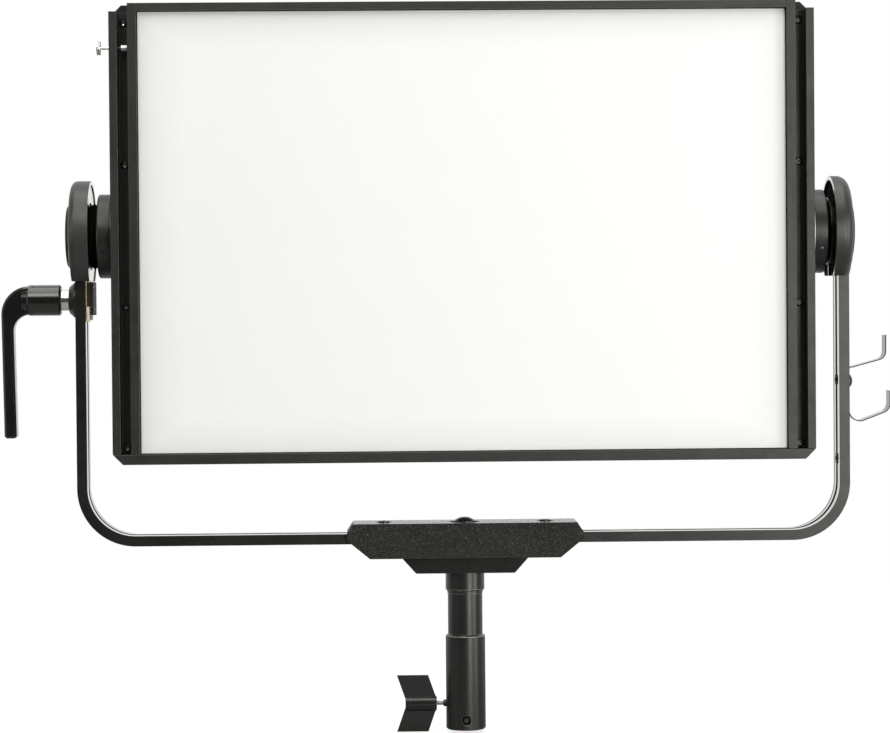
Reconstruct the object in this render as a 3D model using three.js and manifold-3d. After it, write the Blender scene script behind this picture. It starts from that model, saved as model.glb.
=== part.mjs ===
// A soft LED panel light in its tilting yoke, on a socket for a lighting stand.
// Units are millimetres. +Z is up, the lit face looks along -Y and +X is the viewer's right.
// The origin is the centre of the mouth of the stand socket.
import * as THREE from 'three';
import { mergeVertices } from 'three/addons/utils/BufferGeometryUtils.js';
import Module from 'manifold-3d';

const wasm = await Module();
wasm.setup();

// ---------------------------------------------------------------- driving dimensions

const PIVOT_HEIGHT = 490; // the tilt axis above the socket mouth
const GAP = 0.3; // between pieces that are bolted together
const LARGE_ROUND = 32; // sides of a large round piece
const MEDIUM_ROUND = 24;
const SMALL_ROUND = 16;
const TINY_ROUND = 12;
const CUT = 2; // how far a cutting solid runs past the face it cuts

// The head, measured from the tilt axis.
const HEAD_HALF_WIDTH = 342.5;
const HEAD_TOP = 224.5;
const HEAD_BOTTOM = -223;
const HEAD_FRONT = -50;
const HEAD_BACK = 80;
const CORNER_CHAMFER = 10;
const OUTER_LIP = 7.8;
const CHANNEL = 10.2;
const INNER_LIP = 8.7;
const CHANNEL_FLOOR = -32;
const RAIL_BACK = -26;
const CHANNEL_TOP = 216.5;
const TOP_RAIL_HEIGHT = 7.5;
const BOTTOM_RAIL_HEIGHT = 10;
const LEDGE = 5;
const WINDOW_HALF_WIDTH = HEAD_HALF_WIDTH - OUTER_LIP - CHANNEL - INNER_LIP;
const WINDOW_TOP = HEAD_TOP - TOP_RAIL_HEIGHT;
const WINDOW_BOTTOM = HEAD_BOTTOM + BOTTOM_RAIL_HEIGHT;
const DIFFUSER_FRONT = -44;
const DIFFUSER_THICKNESS = 3;
const CHANNEL_MIDDLE = HEAD_HALF_WIDTH - OUTER_LIP - CHANNEL / 2;
const CHANNEL_SCREW_HEIGHTS = [206, 68, -70, -208];
const CHANNEL_SCREW_HEAD_RADIUS = 3.7;
const CHANNEL_SCREW_SHANK_RADIUS = 2;

// The casing behind the frame.
const CASE_WALL = 2.5;
const CASE_FLANGE = 3.5; // thickness of the flange that the rails are screwed to
const CASE_SPLIT = 52;
const COVER_BEVEL = 20;
const CASE_HALF_WIDTH = HEAD_HALF_WIDTH - GAP;
const EDGE_VENTS = { count: 11, pitch: 52, width: 36, depth: [8, 40] };
const TOP_VENTS = { count: 19, pitch: 30, width: 10, height: [132, 180] };
const MIDDLE_VENTS = { count: 3, pitch: 30, width: 10, height: [10, 94] };
const LOWER_VENTS = { count: 3, pitch: 30, width: 10, height: [-146, -94], offset: 215 };
const FAN_X = 165;
const FAN_Z = 52;
const FAN_SIZE = 92;
const FAN_DEPTH = 15;
const FAN_BACK = 50;
const FAN_HUB_RADIUS = 17;
const FAN_BLADE_RADIUS = 42;
const FAN_OPENING_RADIUS = 43.5;
const FAN_STRUT = 2; // thickness of the struts that hold the motor
const GRILLE_PITCH = 12;
const GRILLE_SLOT = 8;
const PANEL_Z = -120;
const PANEL_HALF_WIDTH = 104;
const PANEL_HALF_HEIGHT = 31;
const PANEL_DEPTH = 16;
const PANEL_PLATE = 2;
const PANEL_CLEARANCE = 0.6;
const DIMMER_X = 66;
const DIMMER_RADIUS = 13;
const DIMMER_SHAFT_RADIUS = 3;
const SWITCH_X = -70;
const SWITCH_LENGTH = 20;
const SWITCH_WIDTH = 12;
const SWITCH_TILT = 7; // degrees either side of level
const INLET_X = -215;
const INLET_BARREL_RADIUS = 12;

// The pivots, by distance from the middle of the head.
const RING_THICKNESS = 1.8;
const RING_RADIUS = 41.7;
const BOSS_INNER = HEAD_HALF_WIDTH + GAP + RING_THICKNESS + GAP;
const BOSS_OUTER = 360;
const BOSS_RADIUS = 41.3;
const DISC_RADIUS = 32.4;
const END_INNER = 367.4;
const END_OUTER = 382.6;
const END_RADIUS = 54.6;
const END_FILLET = 10;
const END_BOTTOM = -44;
const END_LOWER_FACE = 381.4;
const CAP_RADIUS = 31;
const CAP_OUTER = 387.4;
const BOLT_RADIUS = 7;
const BOLT_HEAD_RADIUS = 12;
const BOLT_REACH = 10; // how far the bolt goes into the boss
const RUNNING_GAP = 0.25;

// The yoke bar, a flat bar bent into a U, with grooves along its inner face.
const BAR_OUTER = 380.1;
const BAR_THICKNESS = 10.1;
const BAR_DEPTH = 44;
const BAR_BOTTOM = 185.5;
const BAR_CORNER_RADIUS = 57;
const BAR_TOP = PIVOT_HEIGHT - 20;
const BAR_GROOVES = [
  { from: -8, to: 2, depth: 3.5 },
  { from: 12, to: BAR_DEPTH / 2 + CUT, depth: 1.6 },
];

// The tilt lock on the left arm. Heights are below the tilt axis.
const LOCK_HEIGHT = PIVOT_HEIGHT - 62.4;
const LOCK_BASE_RADIUS = 17.5;
const LOCK_BASE_OUTER = 385.6;
const LEVER_SHAFT_RADIUS = 10.5;
const LEVER_STUD_RADIUS = 6;
const LEVER_HUB_INNER = 393;
const LEVER_HUB_OUTER = 426.6;
const LEVER_HUB_RADIUS = 15.2;
const LEVER_ELBOW_RADIUS = 28;
const LEVER_WIDTH = 12.4;
const LEVER_END = -135.6;
const LEVER_LEAN = 2;
const LEVER_DEPTH = 19;
const LEVER_END_CHAMFER = 3;
const CLAMP_PAD = { inner: 365.4, outer: 369.7, low: -84, high: -44.8, depth: 40 };
const CLAMP_PLATE = { inner: 360.8, outer: 365.1, low: -77.4, high: -44.8, depth: 37 };
const CLAMP_SCREW_Y = -13;
const CLAMP_SCREW_RADIUS = 1.5;
const CLAMP_SCREW_HEIGHTS = { upper: -49.5, lower: -72.7 };

// The cable hooks on the right arm, one strip bent at both ends.
const HOOK_STRIP = 1.4;
const HOOK_DEPTH = 20;
const HOOK_SCREW_HEIGHT = PIVOT_HEIGHT - 148.5;
const HOOK_SCREW_RADIUS = 2.5;

// The base under the yoke.
const BLOCK_TOP = 205.5;
const BLOCK_BOTTOM = 171;
const BLOCK_DEPTH = 52;
const BLOCK_SHOULDER = 110.3;
const BLOCK_NOSE = 116.4;
const BLOCK_NOSE_TOP = 196;
const BLOCK_NOSE_BOTTOM = 189.5;
const BLOCK_FOOT = 93.8;
const LOWER_PLATE_TOP_HALF = 61.8;
const LOWER_PLATE_BOTTOM_HALF = 48.6;
const LOWER_PLATE_BOTTOM = 156;
const LOWER_PLATE_DEPTH = 46;
const CENTRE_BOLT_HEAD_RADIUS = 11.8;
const CENTRE_BOLT_RADIUS = 6;
const CENTRE_BOLT_END = 112;
const CENTRE_BOLT_RECESS = 1.5;
const BLOCK_SCREW_X = 79.8;
const BLOCK_SCREW_HEAD_RADIUS = 5.25;
const BLOCK_SCREW_RADIUS = 3;
const BLOCK_SCREW_RECESS_RADIUS = 8.4;
const BLOCK_SCREW_RECESS = 4;

// The spigot and its wing screw.
const SLEEVE_RADIUS = 19.6;
const SLEEVE_TOP = 94;
const NECK_RADIUS = 17.15;
const NECK_TOP = 137.5;
const COLLAR_RADIUS = 19.25;
const SOCKET_RADIUS = 14.4;
const SOCKET_DEPTH = 62;
const SIGHT_HOLE_HEIGHT = 10;
const SIGHT_HOLE_RADIUS = 4.4;
const WING_HEIGHT = 25.5;
const WING_INNER = 28.9;
const WING_LENGTH = 31;
const WING_HUB_RADIUS = 7.6;
const WING_SPAN = 28;
const WING_SWEEP = 8.4;
const WING_THICKNESS = 3.2;
const THREAD_RADIUS = 2.4;
const THREAD_BOSS_RADIUS = 3.4;

// The latch that holds an accessory frame in the left channel.
const LATCH_HEIGHT = 181.5;
const LATCH_Y = -41;
const LATCH_TIP_RADIUS = 3;
const LATCH_TIP_LENGTH = 6;
const LATCH_STEM_RADIUS = 1.5;
const LATCH_KNOB_INNER = 353.2;
const LATCH_KNOB_OUTER = 357.3;
const LATCH_KNOB_RADIUS = 7.3;

// ---------------------------------------------------------------- materials

function finish(color, roughness, metalness = 0) {
  return () => new THREE.MeshStandardMaterial({ color, roughness, metalness });
}

const blackPaint = finish(0x26272a, 0.5);
const blackAnodised = finish(0x2c2d2f, 0.4, 0.6);
const railAnodised = finish(0x3a3b3b, 0.45, 0.5);
const wrinklePaint = finish(0x1f2021, 0.7);
const blackPlastic = finish(0x1b1c1d, 0.55);
const blackSteel = finish(0x161617, 0.35, 0.6);
const brightSteel = finish(0xc9c9c6, 0.25, 1);
const brass = finish(0xa8843c, 0.35, 1);
const rawAluminium = finish(0xb4b6b8, 0.4, 1);
const softWhite = finish(0xf1f1ea, 0.6);
const boardGreen = finish(0x1f4a2c, 0.6);
const smokedGlass = finish(0x0b0d10, 0.1);

// ---------------------------------------------------------------- solids

// A closed three.js geometry as a manifold solid.
function solid(geometry) {
  const bare = geometry.clone();
  bare.deleteAttribute('normal');
  bare.deleteAttribute('uv');
  const merged = mergeVertices(bare);
  const vertProperties = new Float32Array(merged.attributes.position.array);
  const triVerts = new Uint32Array(merged.index.array);
  return new wasm.Manifold(new wasm.Mesh({ numProp: 3, vertProperties, triVerts }));
}

// A manifold solid as a three.js geometry with flat faces.
function geometryOf(manifold) {
  const { vertProperties, triVerts } = manifold.getMesh();
  const indexed = new THREE.BufferGeometry();
  indexed.setAttribute('position', new THREE.BufferAttribute(vertProperties, 3));
  indexed.setIndex(new THREE.BufferAttribute(triVerts, 1));
  const flat = indexed.toNonIndexed();
  flat.computeVertexNormals();
  return flat;
}

function cutAll(body, cutters) {
  return cutters.reduce((rest, cutter) => rest.subtract(cutter), body);
}

function joinAll(pieces) {
  return pieces.reduce((whole, piece) => whole.add(piece));
}

function shapeOf(points) {
  return new THREE.Shape(points.map(([u, v]) => new THREE.Vector2(u, v)));
}

function extrude(shape, depth, options = {}) {
  return new THREE.ExtrudeGeometry(shape, { depth, bevelEnabled: false, curveSegments: 12, ...options });
}

// An outline in X and Y, extruded from one height to another.
function extrudeUp(shape, low, high, options) {
  return extrude(shape, high - low, options).translate(0, 0, low);
}

// An outline in X and Z, extruded from front to back.
function extrudeBack(shape, front, back, options) {
  return extrude(shape, back - front, options).rotateX(Math.PI / 2).translate(0, back, 0);
}

// An outline in Y and Z, extruded along X.
function extrudeAcross(shape, left, right, options) {
  const yzx = new THREE.Matrix4().makeBasis(
    new THREE.Vector3(0, 1, 0),
    new THREE.Vector3(0, 0, 1),
    new THREE.Vector3(1, 0, 0),
  );
  return extrude(shape, right - left, options).applyMatrix4(yzx).translate(left, 0, 0);
}

function box(x, y, z) {
  const size = [x, y, z].map(([low, high]) => high - low);
  const middle = [x, y, z].map(([low, high]) => (low + high) / 2);
  return new THREE.BoxGeometry(...size).translate(...middle);
}

// The range between two distances from the middle, on the right (1) or the left (-1).
function sideRange(side, inner, outer) {
  return side > 0 ? [inner, outer] : [-outer, -inner];
}

function revolve(profile, segments) {
  return new THREE.LatheGeometry(profile.map(([r, h]) => new THREE.Vector2(r, h)), segments);
}

// A profile of radius and height, turned about a vertical axis.
function turnedUp(profile, segments = MEDIUM_ROUND) {
  return revolve(profile, segments).rotateX(Math.PI / 2);
}

// A profile of radius and distance along X, on the right (1) or the left (-1).
function turnedAcross(profile, side = 1, segments = MEDIUM_ROUND) {
  return revolve(profile, segments).rotateZ((-side * Math.PI) / 2);
}

// A profile of radius and distance along Y.
function turnedBack(profile, segments = MEDIUM_ROUND) {
  return revolve(profile, segments);
}

function rod(radius, from, to) {
  return [[0, from], [radius, from], [radius, to], [0, to]];
}

// The points of a quarter circle, from one angle to another in degrees.
function arcPoints(centreU, centreV, radius, fromDegrees, toDegrees, steps) {
  const points = [];
  for (let step = 0; step <= steps; step += 1) {
    const angle = THREE.MathUtils.degToRad(fromDegrees + ((toDegrees - fromDegrees) * step) / steps);
    points.push([centreU + radius * Math.cos(angle), centreV + radius * Math.sin(angle)]);
  }
  return points;
}

function rectangle(halfWidth, low, high) {
  return shapeOf([[-halfWidth, low], [halfWidth, low], [halfWidth, high], [-halfWidth, high]]);
}

// A rectangle with its four corners cut off at 45 degrees.
function chamferedRectangle(halfWidth, low, high, chamfer) {
  return shapeOf([
    [-halfWidth + chamfer, low],
    [halfWidth - chamfer, low],
    [halfWidth, low + chamfer],
    [halfWidth, high - chamfer],
    [halfWidth - chamfer, high],
    [-halfWidth + chamfer, high],
    [-halfWidth, high - chamfer],
    [-halfWidth, low + chamfer],
  ]);
}

// A strip of even thickness along a line of points.
function stripShape(points, thickness) {
  const line = points.map(([u, v]) => new THREE.Vector2(u, v));
  const sides = line.map((point, index) => {
    const before = line[Math.max(index - 1, 0)];
    const after = line[Math.min(index + 1, line.length - 1)];
    const along = after.clone().sub(before).normalize();
    return new THREE.Vector2(-along.y, along.x).multiplyScalar(thickness / 2);
  });
  const outward = line.map((point, index) => point.clone().add(sides[index]));
  const inward = line.map((point, index) => point.clone().sub(sides[index]));
  return new THREE.Shape([...outward, ...inward.reverse()]);
}

// ---------------------------------------------------------------- placing

const light = new THREE.Group();
const yoke = new THREE.Group();
const head = new THREE.Group();
head.position.z = PIVOT_HEIGHT;
light.add(yoke, head);

function place(group, name, piece, material, position = [0, 0, 0]) {
  const geometry = piece.isBufferGeometry ? piece : geometryOf(piece);
  const mesh = new THREE.Mesh(geometry, material());
  mesh.name = name;
  mesh.position.set(...position);
  group.add(mesh);
  return mesh;
}

const SIDES = [['left', -1], ['right', 1]];

// ---------------------------------------------------------------- head frame

function sideRail(side) {
  const outer = HEAD_HALF_WIDTH;
  const outerLip = outer - OUTER_LIP;
  const innerLip = outerLip - CHANNEL;
  const window = WINDOW_HALF_WIDTH;
  const ledgeFront = DIFFUSER_FRONT + DIFFUSER_THICKNESS + GAP;
  const section = shapeOf([
    [outer, HEAD_FRONT],
    [outer, RAIL_BACK],
    [window - LEDGE, RAIL_BACK],
    [window - LEDGE, ledgeFront],
    [window, ledgeFront],
    [window, HEAD_FRONT],
    [innerLip, HEAD_FRONT],
    [innerLip, CHANNEL_FLOOR],
    [outerLip, CHANNEL_FLOOR],
    [outerLip, HEAD_FRONT],
  ].map(([x, y]) => [side * x, y]));
  const rail = solid(extrudeUp(section, WINDOW_BOTTOM + GAP, HEAD_TOP));
  const aboveChannel = box(
    sideRange(side, innerLip, outer + CUT),
    [HEAD_FRONT - CUT, RAIL_BACK + CUT],
    [CHANNEL_TOP, HEAD_TOP + CUT],
  );
  const cutters = [solid(aboveChannel)];
  const boreRadius = CHANNEL_SCREW_HEAD_RADIUS + 0.5;
  const boreFloor = CHANNEL_FLOOR + 3;
  for (const height of CHANNEL_SCREW_HEIGHTS) {
    const counterbore = turnedBack([
      [0, CHANNEL_FLOOR - CUT],
      [boreRadius, CHANNEL_FLOOR - CUT],
      [boreRadius, boreFloor],
      [CHANNEL_SCREW_SHANK_RADIUS + GAP, boreFloor],
      [CHANNEL_SCREW_SHANK_RADIUS + GAP, RAIL_BACK + CUT],
      [0, RAIL_BACK + CUT],
    ], TINY_ROUND);
    cutters.push(solid(counterbore.translate(side * CHANNEL_MIDDLE, 0, height)));
  }
  if (side < 0) {
    cutters.push(solid(latchBore()));
  }
  return cutAll(rail, cutters);
}

// The bore in the left outer lip that the latch tip draws back into.
function latchBore() {
  const lip = HEAD_HALF_WIDTH - OUTER_LIP;
  const shoulder = HEAD_HALF_WIDTH - 1.2;
  const profile = [
    [0, lip - CUT],
    [LATCH_TIP_RADIUS + RUNNING_GAP, lip - CUT],
    [LATCH_TIP_RADIUS + RUNNING_GAP, shoulder],
    [LATCH_STEM_RADIUS + RUNNING_GAP, shoulder],
    [LATCH_STEM_RADIUS + RUNNING_GAP, HEAD_HALF_WIDTH + CUT],
    [0, HEAD_HALF_WIDTH + CUT],
  ];
  return turnedAcross(profile, -1, SMALL_ROUND).translate(0, LATCH_Y, LATCH_HEIGHT);
}

// The bar between the side rails' inner lips, narrower behind, with a ledge under the diffuser's edge.
function topRail() {
  const ledgeFront = DIFFUSER_FRONT + DIFFUSER_THICKNESS + GAP;
  const shoulder = ledgeFront - GAP;
  const half = WINDOW_HALF_WIDTH - GAP;
  const ledgeHalf = half - LEDGE;
  const plan = shapeOf([
    [-half, HEAD_FRONT],
    [half, HEAD_FRONT],
    [half, shoulder],
    [ledgeHalf, shoulder],
    [ledgeHalf, RAIL_BACK],
    [-ledgeHalf, RAIL_BACK],
    [-ledgeHalf, shoulder],
    [-half, shoulder],
  ]);
  const ledge = box([-ledgeHalf, ledgeHalf], [ledgeFront, RAIL_BACK], [WINDOW_TOP - LEDGE, WINDOW_TOP + 1]);
  return solid(extrudeUp(plan, WINDOW_TOP, HEAD_TOP)).add(solid(ledge));
}

function bottomRail() {
  const outline = shapeOf([
    [-HEAD_HALF_WIDTH, WINDOW_BOTTOM],
    [-HEAD_HALF_WIDTH + CORNER_CHAMFER, HEAD_BOTTOM],
    [HEAD_HALF_WIDTH - CORNER_CHAMFER, HEAD_BOTTOM],
    [HEAD_HALF_WIDTH, WINDOW_BOTTOM],
  ]);
  const rail = solid(extrudeBack(outline, HEAD_FRONT, RAIL_BACK));
  const ledgeHalf = WINDOW_HALF_WIDTH - LEDGE - GAP;
  const ledge = box(
    [-ledgeHalf, ledgeHalf],
    [DIFFUSER_FRONT + DIFFUSER_THICKNESS + GAP, RAIL_BACK],
    [WINDOW_BOTTOM - 1, WINDOW_BOTTOM + LEDGE],
  );
  return rail.add(solid(ledge));
}

function diffuser() {
  const clearance = 0.8;
  const sheet = rectangle(WINDOW_HALF_WIDTH - clearance, WINDOW_BOTTOM + clearance, WINDOW_TOP - clearance);
  return extrudeBack(sheet, DIFFUSER_FRONT, DIFFUSER_FRONT + DIFFUSER_THICKNESS);
}

function channelScrew() {
  const headFront = CHANNEL_FLOOR + 0.3;
  const headBack = headFront + 2.5;
  const shankEnd = RAIL_BACK + 7;
  const socketRadius = 1.9;
  const socketFloor = headFront + 1.6;
  return turnedBack([
    [0, socketFloor],
    [socketRadius, socketFloor],
    [socketRadius, headFront],
    [CHANNEL_SCREW_HEAD_RADIUS, headFront],
    [CHANNEL_SCREW_HEAD_RADIUS, headBack],
    [CHANNEL_SCREW_SHANK_RADIUS, headBack],
    [CHANNEL_SCREW_SHANK_RADIUS, shankEnd],
    [0, shankEnd],
  ], TINY_ROUND);
}

for (const [word, side] of SIDES) {
  place(head, `side_rail_${word}`, sideRail(side), railAnodised);
  CHANNEL_SCREW_HEIGHTS.forEach((height, index) => {
    const position = [side * CHANNEL_MIDDLE, 0, height];
    place(head, `channel_screw_${word}_${index + 1}`, channelScrew(), blackSteel, position);
  });
}
place(head, 'top_rail', topRail(), railAnodised);
place(head, 'bottom_rail', bottomRail(), railAnodised);
place(head, 'diffuser', diffuser(), softWhite);

// ---------------------------------------------------------------- casing

// A row of slots, as boxes that cut through a wall.
function slotRow({ count, pitch, width, offset = 0 }, y, z) {
  const slots = [];
  for (let index = 0; index < count; index += 1) {
    const x = offset + (index - (count - 1) / 2) * pitch;
    slots.push(solid(box([x - width / 2, x + width / 2], y, z)));
  }
  return slots;
}

// The four walls of the casing, with a front flange that the rails are screwed to.
function housing() {
  const front = RAIL_BACK + GAP;
  const flangeBack = front + CASE_FLANGE;
  const outline = chamferedRectangle(CASE_HALF_WIDTH, HEAD_BOTTOM, HEAD_TOP, CORNER_CHAMFER);
  const inside = chamferedRectangle(
    CASE_HALF_WIDTH - CASE_WALL,
    HEAD_BOTTOM + CASE_WALL,
    HEAD_TOP - CASE_WALL,
    CORNER_CHAMFER,
  );
  const margin = LEDGE + 2;
  const window = rectangle(WINDOW_HALF_WIDTH - margin, WINDOW_BOTTOM + margin, WINDOW_TOP - margin);
  const cutters = [
    solid(extrudeBack(inside, flangeBack, CASE_SPLIT + CUT)),
    solid(extrudeBack(window, front - CUT, flangeBack + CUT)),
  ];
  const screwHole = rod(CHANNEL_SCREW_SHANK_RADIUS + GAP, front - CUT, flangeBack + CUT);
  for (const [, side] of SIDES) {
    for (const height of CHANNEL_SCREW_HEIGHTS) {
      const hole = turnedBack(screwHole, TINY_ROUND);
      cutters.push(solid(hole.translate(side * CHANNEL_MIDDLE, 0, height)));
    }
  }
  const topWall = [HEAD_TOP - CASE_WALL - CUT, HEAD_TOP + CUT];
  const bottomWall = [HEAD_BOTTOM - CUT, HEAD_BOTTOM + CASE_WALL + CUT];
  cutters.push(...slotRow(EDGE_VENTS, EDGE_VENTS.depth, topWall));
  cutters.push(...slotRow(EDGE_VENTS, EDGE_VENTS.depth, bottomWall));
  return cutAll(solid(extrudeBack(outline, front, CASE_SPLIT)), cutters);
}

// A block whose back edges slope in at 45 degrees.
function coverForm(inset, front, back) {
  const half = CASE_HALF_WIDTH - inset;
  const low = HEAD_BOTTOM + inset;
  const high = HEAD_TOP - inset;
  const block = solid(extrudeBack(chamferedRectangle(half, low, high, CORNER_CHAMFER), front, back));
  const slope = (edge, side) => [
    [edge + side * CUT, back - COVER_BEVEL - CUT],
    [edge - side * (COVER_BEVEL + CUT), back + CUT],
    [edge + side * CUT, back + CUT],
  ];
  const yAndZ = (points) => points.map(([z, y]) => [y, z]);
  const upright = (side) => extrudeUp(shapeOf(slope(side * half, side)), low - CUT, high + CUT);
  const level = (edge, side) => extrudeAcross(shapeOf(yAndZ(slope(edge, side))), -half - CUT, half + CUT);
  return cutAll(block, [upright(-1), upright(1), level(low, -1), level(high, 1)].map(solid));
}

// The level bars of a fan grille, as slots cut inside a circle.
function grilleSlots(x, z) {
  const slots = [];
  const rib = 2;
  for (let index = -3; index <= 3; index += 1) {
    const offset = index * GRILLE_PITCH;
    const half = Math.sqrt(FAN_BLADE_RADIUS ** 2 - offset ** 2) - 1;
    const height = [z + offset - GRILLE_SLOT / 2, z + offset + GRILLE_SLOT / 2];
    for (const [, side] of SIDES) {
      const run = sideRange(side, rib, half).map((value) => value + x);
      slots.push(solid(box(run, [HEAD_BACK - CASE_WALL - CUT, HEAD_BACK + CUT], height)));
    }
  }
  return slots;
}

// The hole for the rocker switch, with an even clearance round it.
function switchHole(clearance, depth) {
  const half = SWITCH_LENGTH / 2 + clearance;
  const halfHeight = SWITCH_WIDTH / 2 + clearance;
  return box([SWITCH_X - half, SWITCH_X + half], depth, [PANEL_Z - halfHeight, PANEL_Z + halfHeight]);
}

// The back of the casing, with a recess for the controls, two fan grilles and a row of vents.
function rearCover() {
  const front = CASE_SPLIT + GAP;
  const outer = coverForm(0, front, HEAD_BACK);
  const inner = coverForm(CASE_WALL, front - CUT, HEAD_BACK - CASE_WALL);
  const recessFloor = HEAD_BACK - PANEL_DEPTH;
  const recess = (grow) => rectangle(
    PANEL_HALF_WIDTH + grow,
    PANEL_Z - PANEL_HALF_HEIGHT - grow,
    PANEL_Z + PANEL_HALF_HEIGHT + grow,
  );
  const recessWalls = solid(extrudeBack(recess(CASE_WALL), recessFloor - CASE_WALL, HEAD_BACK + CUT));
  const throughFloor = [recessFloor - CASE_WALL - CUT, recessFloor + CUT];
  const throughBack = [HEAD_BACK - CASE_WALL - CUT, HEAD_BACK + CUT];
  const dimmerHole = turnedBack(rod(DIMMER_SHAFT_RADIUS + 2, ...throughFloor), SMALL_ROUND);
  const inletHole = turnedBack(rod(INLET_BARREL_RADIUS + 0.4, ...throughBack));
  const cutters = [
    inner.subtract(recessWalls),
    solid(extrudeBack(recess(0), recessFloor, HEAD_BACK + CUT)),
    solid(dimmerHole.translate(DIMMER_X, 0, PANEL_Z)),
    solid(switchHole(2, throughFloor)),
    solid(inletHole.translate(INLET_X, 0, PANEL_Z)),
    ...grilleSlots(-FAN_X, FAN_Z),
    ...grilleSlots(FAN_X, FAN_Z),
    ...[TOP_VENTS, MIDDLE_VENTS, LOWER_VENTS].flatMap((row) => slotRow(row, throughBack, row.height)),
  ];
  return cutAll(outer, cutters);
}

place(head, 'housing', housing(), blackPaint);
place(head, 'rear_cover', rearCover(), blackPaint);

// ---------------------------------------------------------------- inside the head

// White walls between the board and the diffuser, open at both ends.
function reflectorTray() {
  const front = RAIL_BACK + CASE_FLANGE + 2 * GAP;
  const back = -3;
  const wall = 1.2;
  const margin = 14;
  const low = WINDOW_BOTTOM + margin;
  const high = WINDOW_TOP - margin;
  const half = WINDOW_HALF_WIDTH - margin;
  const outer = solid(extrudeBack(rectangle(half, low, high), front, back));
  const inner = rectangle(half - wall, low + wall, high - wall);
  return outer.subtract(solid(extrudeBack(inner, front - CUT, back + CUT)));
}

function ledBoard() {
  return extrudeBack(rectangle(300, -197, 201), -2.6, -1);
}

// A base plate with upright fins, cut as one comb-shaped section.
function heatSink() {
  const half = 290;
  const fins = 30;
  const finWidth = 2;
  const baseBack = 4.5;
  const finBack = 33;
  const pitch = (2 * half - finWidth) / (fins - 1);
  const points = [[-half, -0.7], [half, -0.7]];
  for (let index = fins - 1; index >= 0; index -= 1) {
    const left = -half + index * pitch;
    points.push([left + finWidth, index === fins - 1 ? finBack : baseBack]);
    if (index < fins - 1) {
      points.push([left + finWidth, finBack]);
    }
    points.push([left, finBack]);
    if (index > 0) {
      points.push([left, baseBack]);
    }
  }
  return extrudeUp(shapeOf(points), -185, 190);
}

function fanFrame() {
  const half = FAN_SIZE / 2;
  const outline = rectangle(half, -half, half);
  const opening = turnedBack(rod(FAN_OPENING_RADIUS, FAN_BACK - FAN_DEPTH - CUT, FAN_BACK + CUT));
  const frame = solid(extrudeBack(outline, FAN_BACK - FAN_DEPTH, FAN_BACK)).subtract(solid(opening));
  const strutDepth = [FAN_BACK - FAN_DEPTH, FAN_BACK - FAN_DEPTH + FAN_STRUT];
  const length = [-half + 1, half - 1];
  const width = [-3, 3];
  const struts = [
    solid(box(length, strutDepth, width)),
    solid(box(width, strutDepth, length)),
    solid(turnedBack(rod(FAN_HUB_RADIUS, ...strutDepth), SMALL_ROUND)),
  ];
  return joinAll([frame, ...struts]);
}

function fanRotor() {
  const front = FAN_BACK - FAN_DEPTH + FAN_STRUT + 0.5;
  const back = FAN_BACK - 0.8;
  const blades = 7;
  const bladePitch = THREE.MathUtils.degToRad(24);
  const hub = solid(turnedBack(rod(FAN_HUB_RADIUS, front, back), SMALL_ROUND));
  const pieces = [hub];
  for (let index = 0; index < blades; index += 1) {
    const blade = new THREE.BoxGeometry(26, 1.6, FAN_BLADE_RADIUS - FAN_HUB_RADIUS + 4);
    blade.rotateZ(bladePitch);
    blade.translate(0, (front + back) / 2, (FAN_BLADE_RADIUS + FAN_HUB_RADIUS) / 2 - 2);
    blade.rotateY((index * 2 * Math.PI) / blades);
    pieces.push(solid(blade));
  }
  const sweep = solid(turnedBack(rod(FAN_BLADE_RADIUS, front, back), LARGE_ROUND));
  return joinAll(pieces).intersect(sweep);
}

// The driver board, with its transformer, heat spreader, filter and two capacitors.
function driverBoard() {
  const back = 58;
  const root = back - 0.5;
  const capacitor = rod(7, root, back + 16);
  const board = solid(extrudeBack(rectangle(70, -62, 0), back - 1.6, back));
  const parts = [
    box([-60, -28], [root, back + 15], [-52, -22]),
    box([-14, 6], [root, back + 13], [-56, -8]),
    box([20, 58], [root, back + 9], [-54, -36]),
    turnedBack(capacitor, TINY_ROUND).translate(30, 0, -18),
    turnedBack(capacitor, TINY_ROUND).translate(50, 0, -18),
  ];
  return joinAll([board, ...parts.map(solid)]);
}

place(head, 'reflector_tray', reflectorTray(), softWhite);
place(head, 'led_board', ledBoard(), softWhite);
place(head, 'heat_sink', heatSink(), rawAluminium);
place(head, 'driver_board', driverBoard(), boardGreen);
for (const [word, side] of SIDES) {
  place(head, `fan_frame_${word}`, fanFrame(), blackPlastic, [side * FAN_X, 0, FAN_Z]);
  place(head, `fan_rotor_${word}`, fanRotor(), blackPlastic, [side * FAN_X, 0, FAN_Z]);
}

// ---------------------------------------------------------------- controls and inlet

const PANEL_BACK = HEAD_BACK - PANEL_DEPTH + GAP + PANEL_PLATE;
const DISPLAY = { left: -40, right: 30, low: PANEL_Z - 18, high: PANEL_Z + 18, pocket: 1 };

function controlPanel() {
  const front = PANEL_BACK - PANEL_PLATE;
  const plate = rectangle(
    PANEL_HALF_WIDTH - PANEL_CLEARANCE,
    PANEL_Z - PANEL_HALF_HEIGHT + PANEL_CLEARANCE,
    PANEL_Z + PANEL_HALF_HEIGHT - PANEL_CLEARANCE,
  );
  const through = [front - CUT, PANEL_BACK + CUT];
  const dimmerHole = turnedBack(rod(DIMMER_SHAFT_RADIUS + 0.4, ...through), SMALL_ROUND);
  const displayPocket = box(
    [DISPLAY.left, DISPLAY.right],
    [PANEL_BACK - DISPLAY.pocket, PANEL_BACK + CUT],
    [DISPLAY.low, DISPLAY.high],
  );
  const cutters = [
    solid(dimmerHole.translate(DIMMER_X, 0, PANEL_Z)),
    solid(switchHole(PANEL_CLEARANCE, through)),
    solid(displayPocket),
  ];
  return cutAll(solid(extrudeBack(plate, front, PANEL_BACK)), cutters);
}

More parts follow.
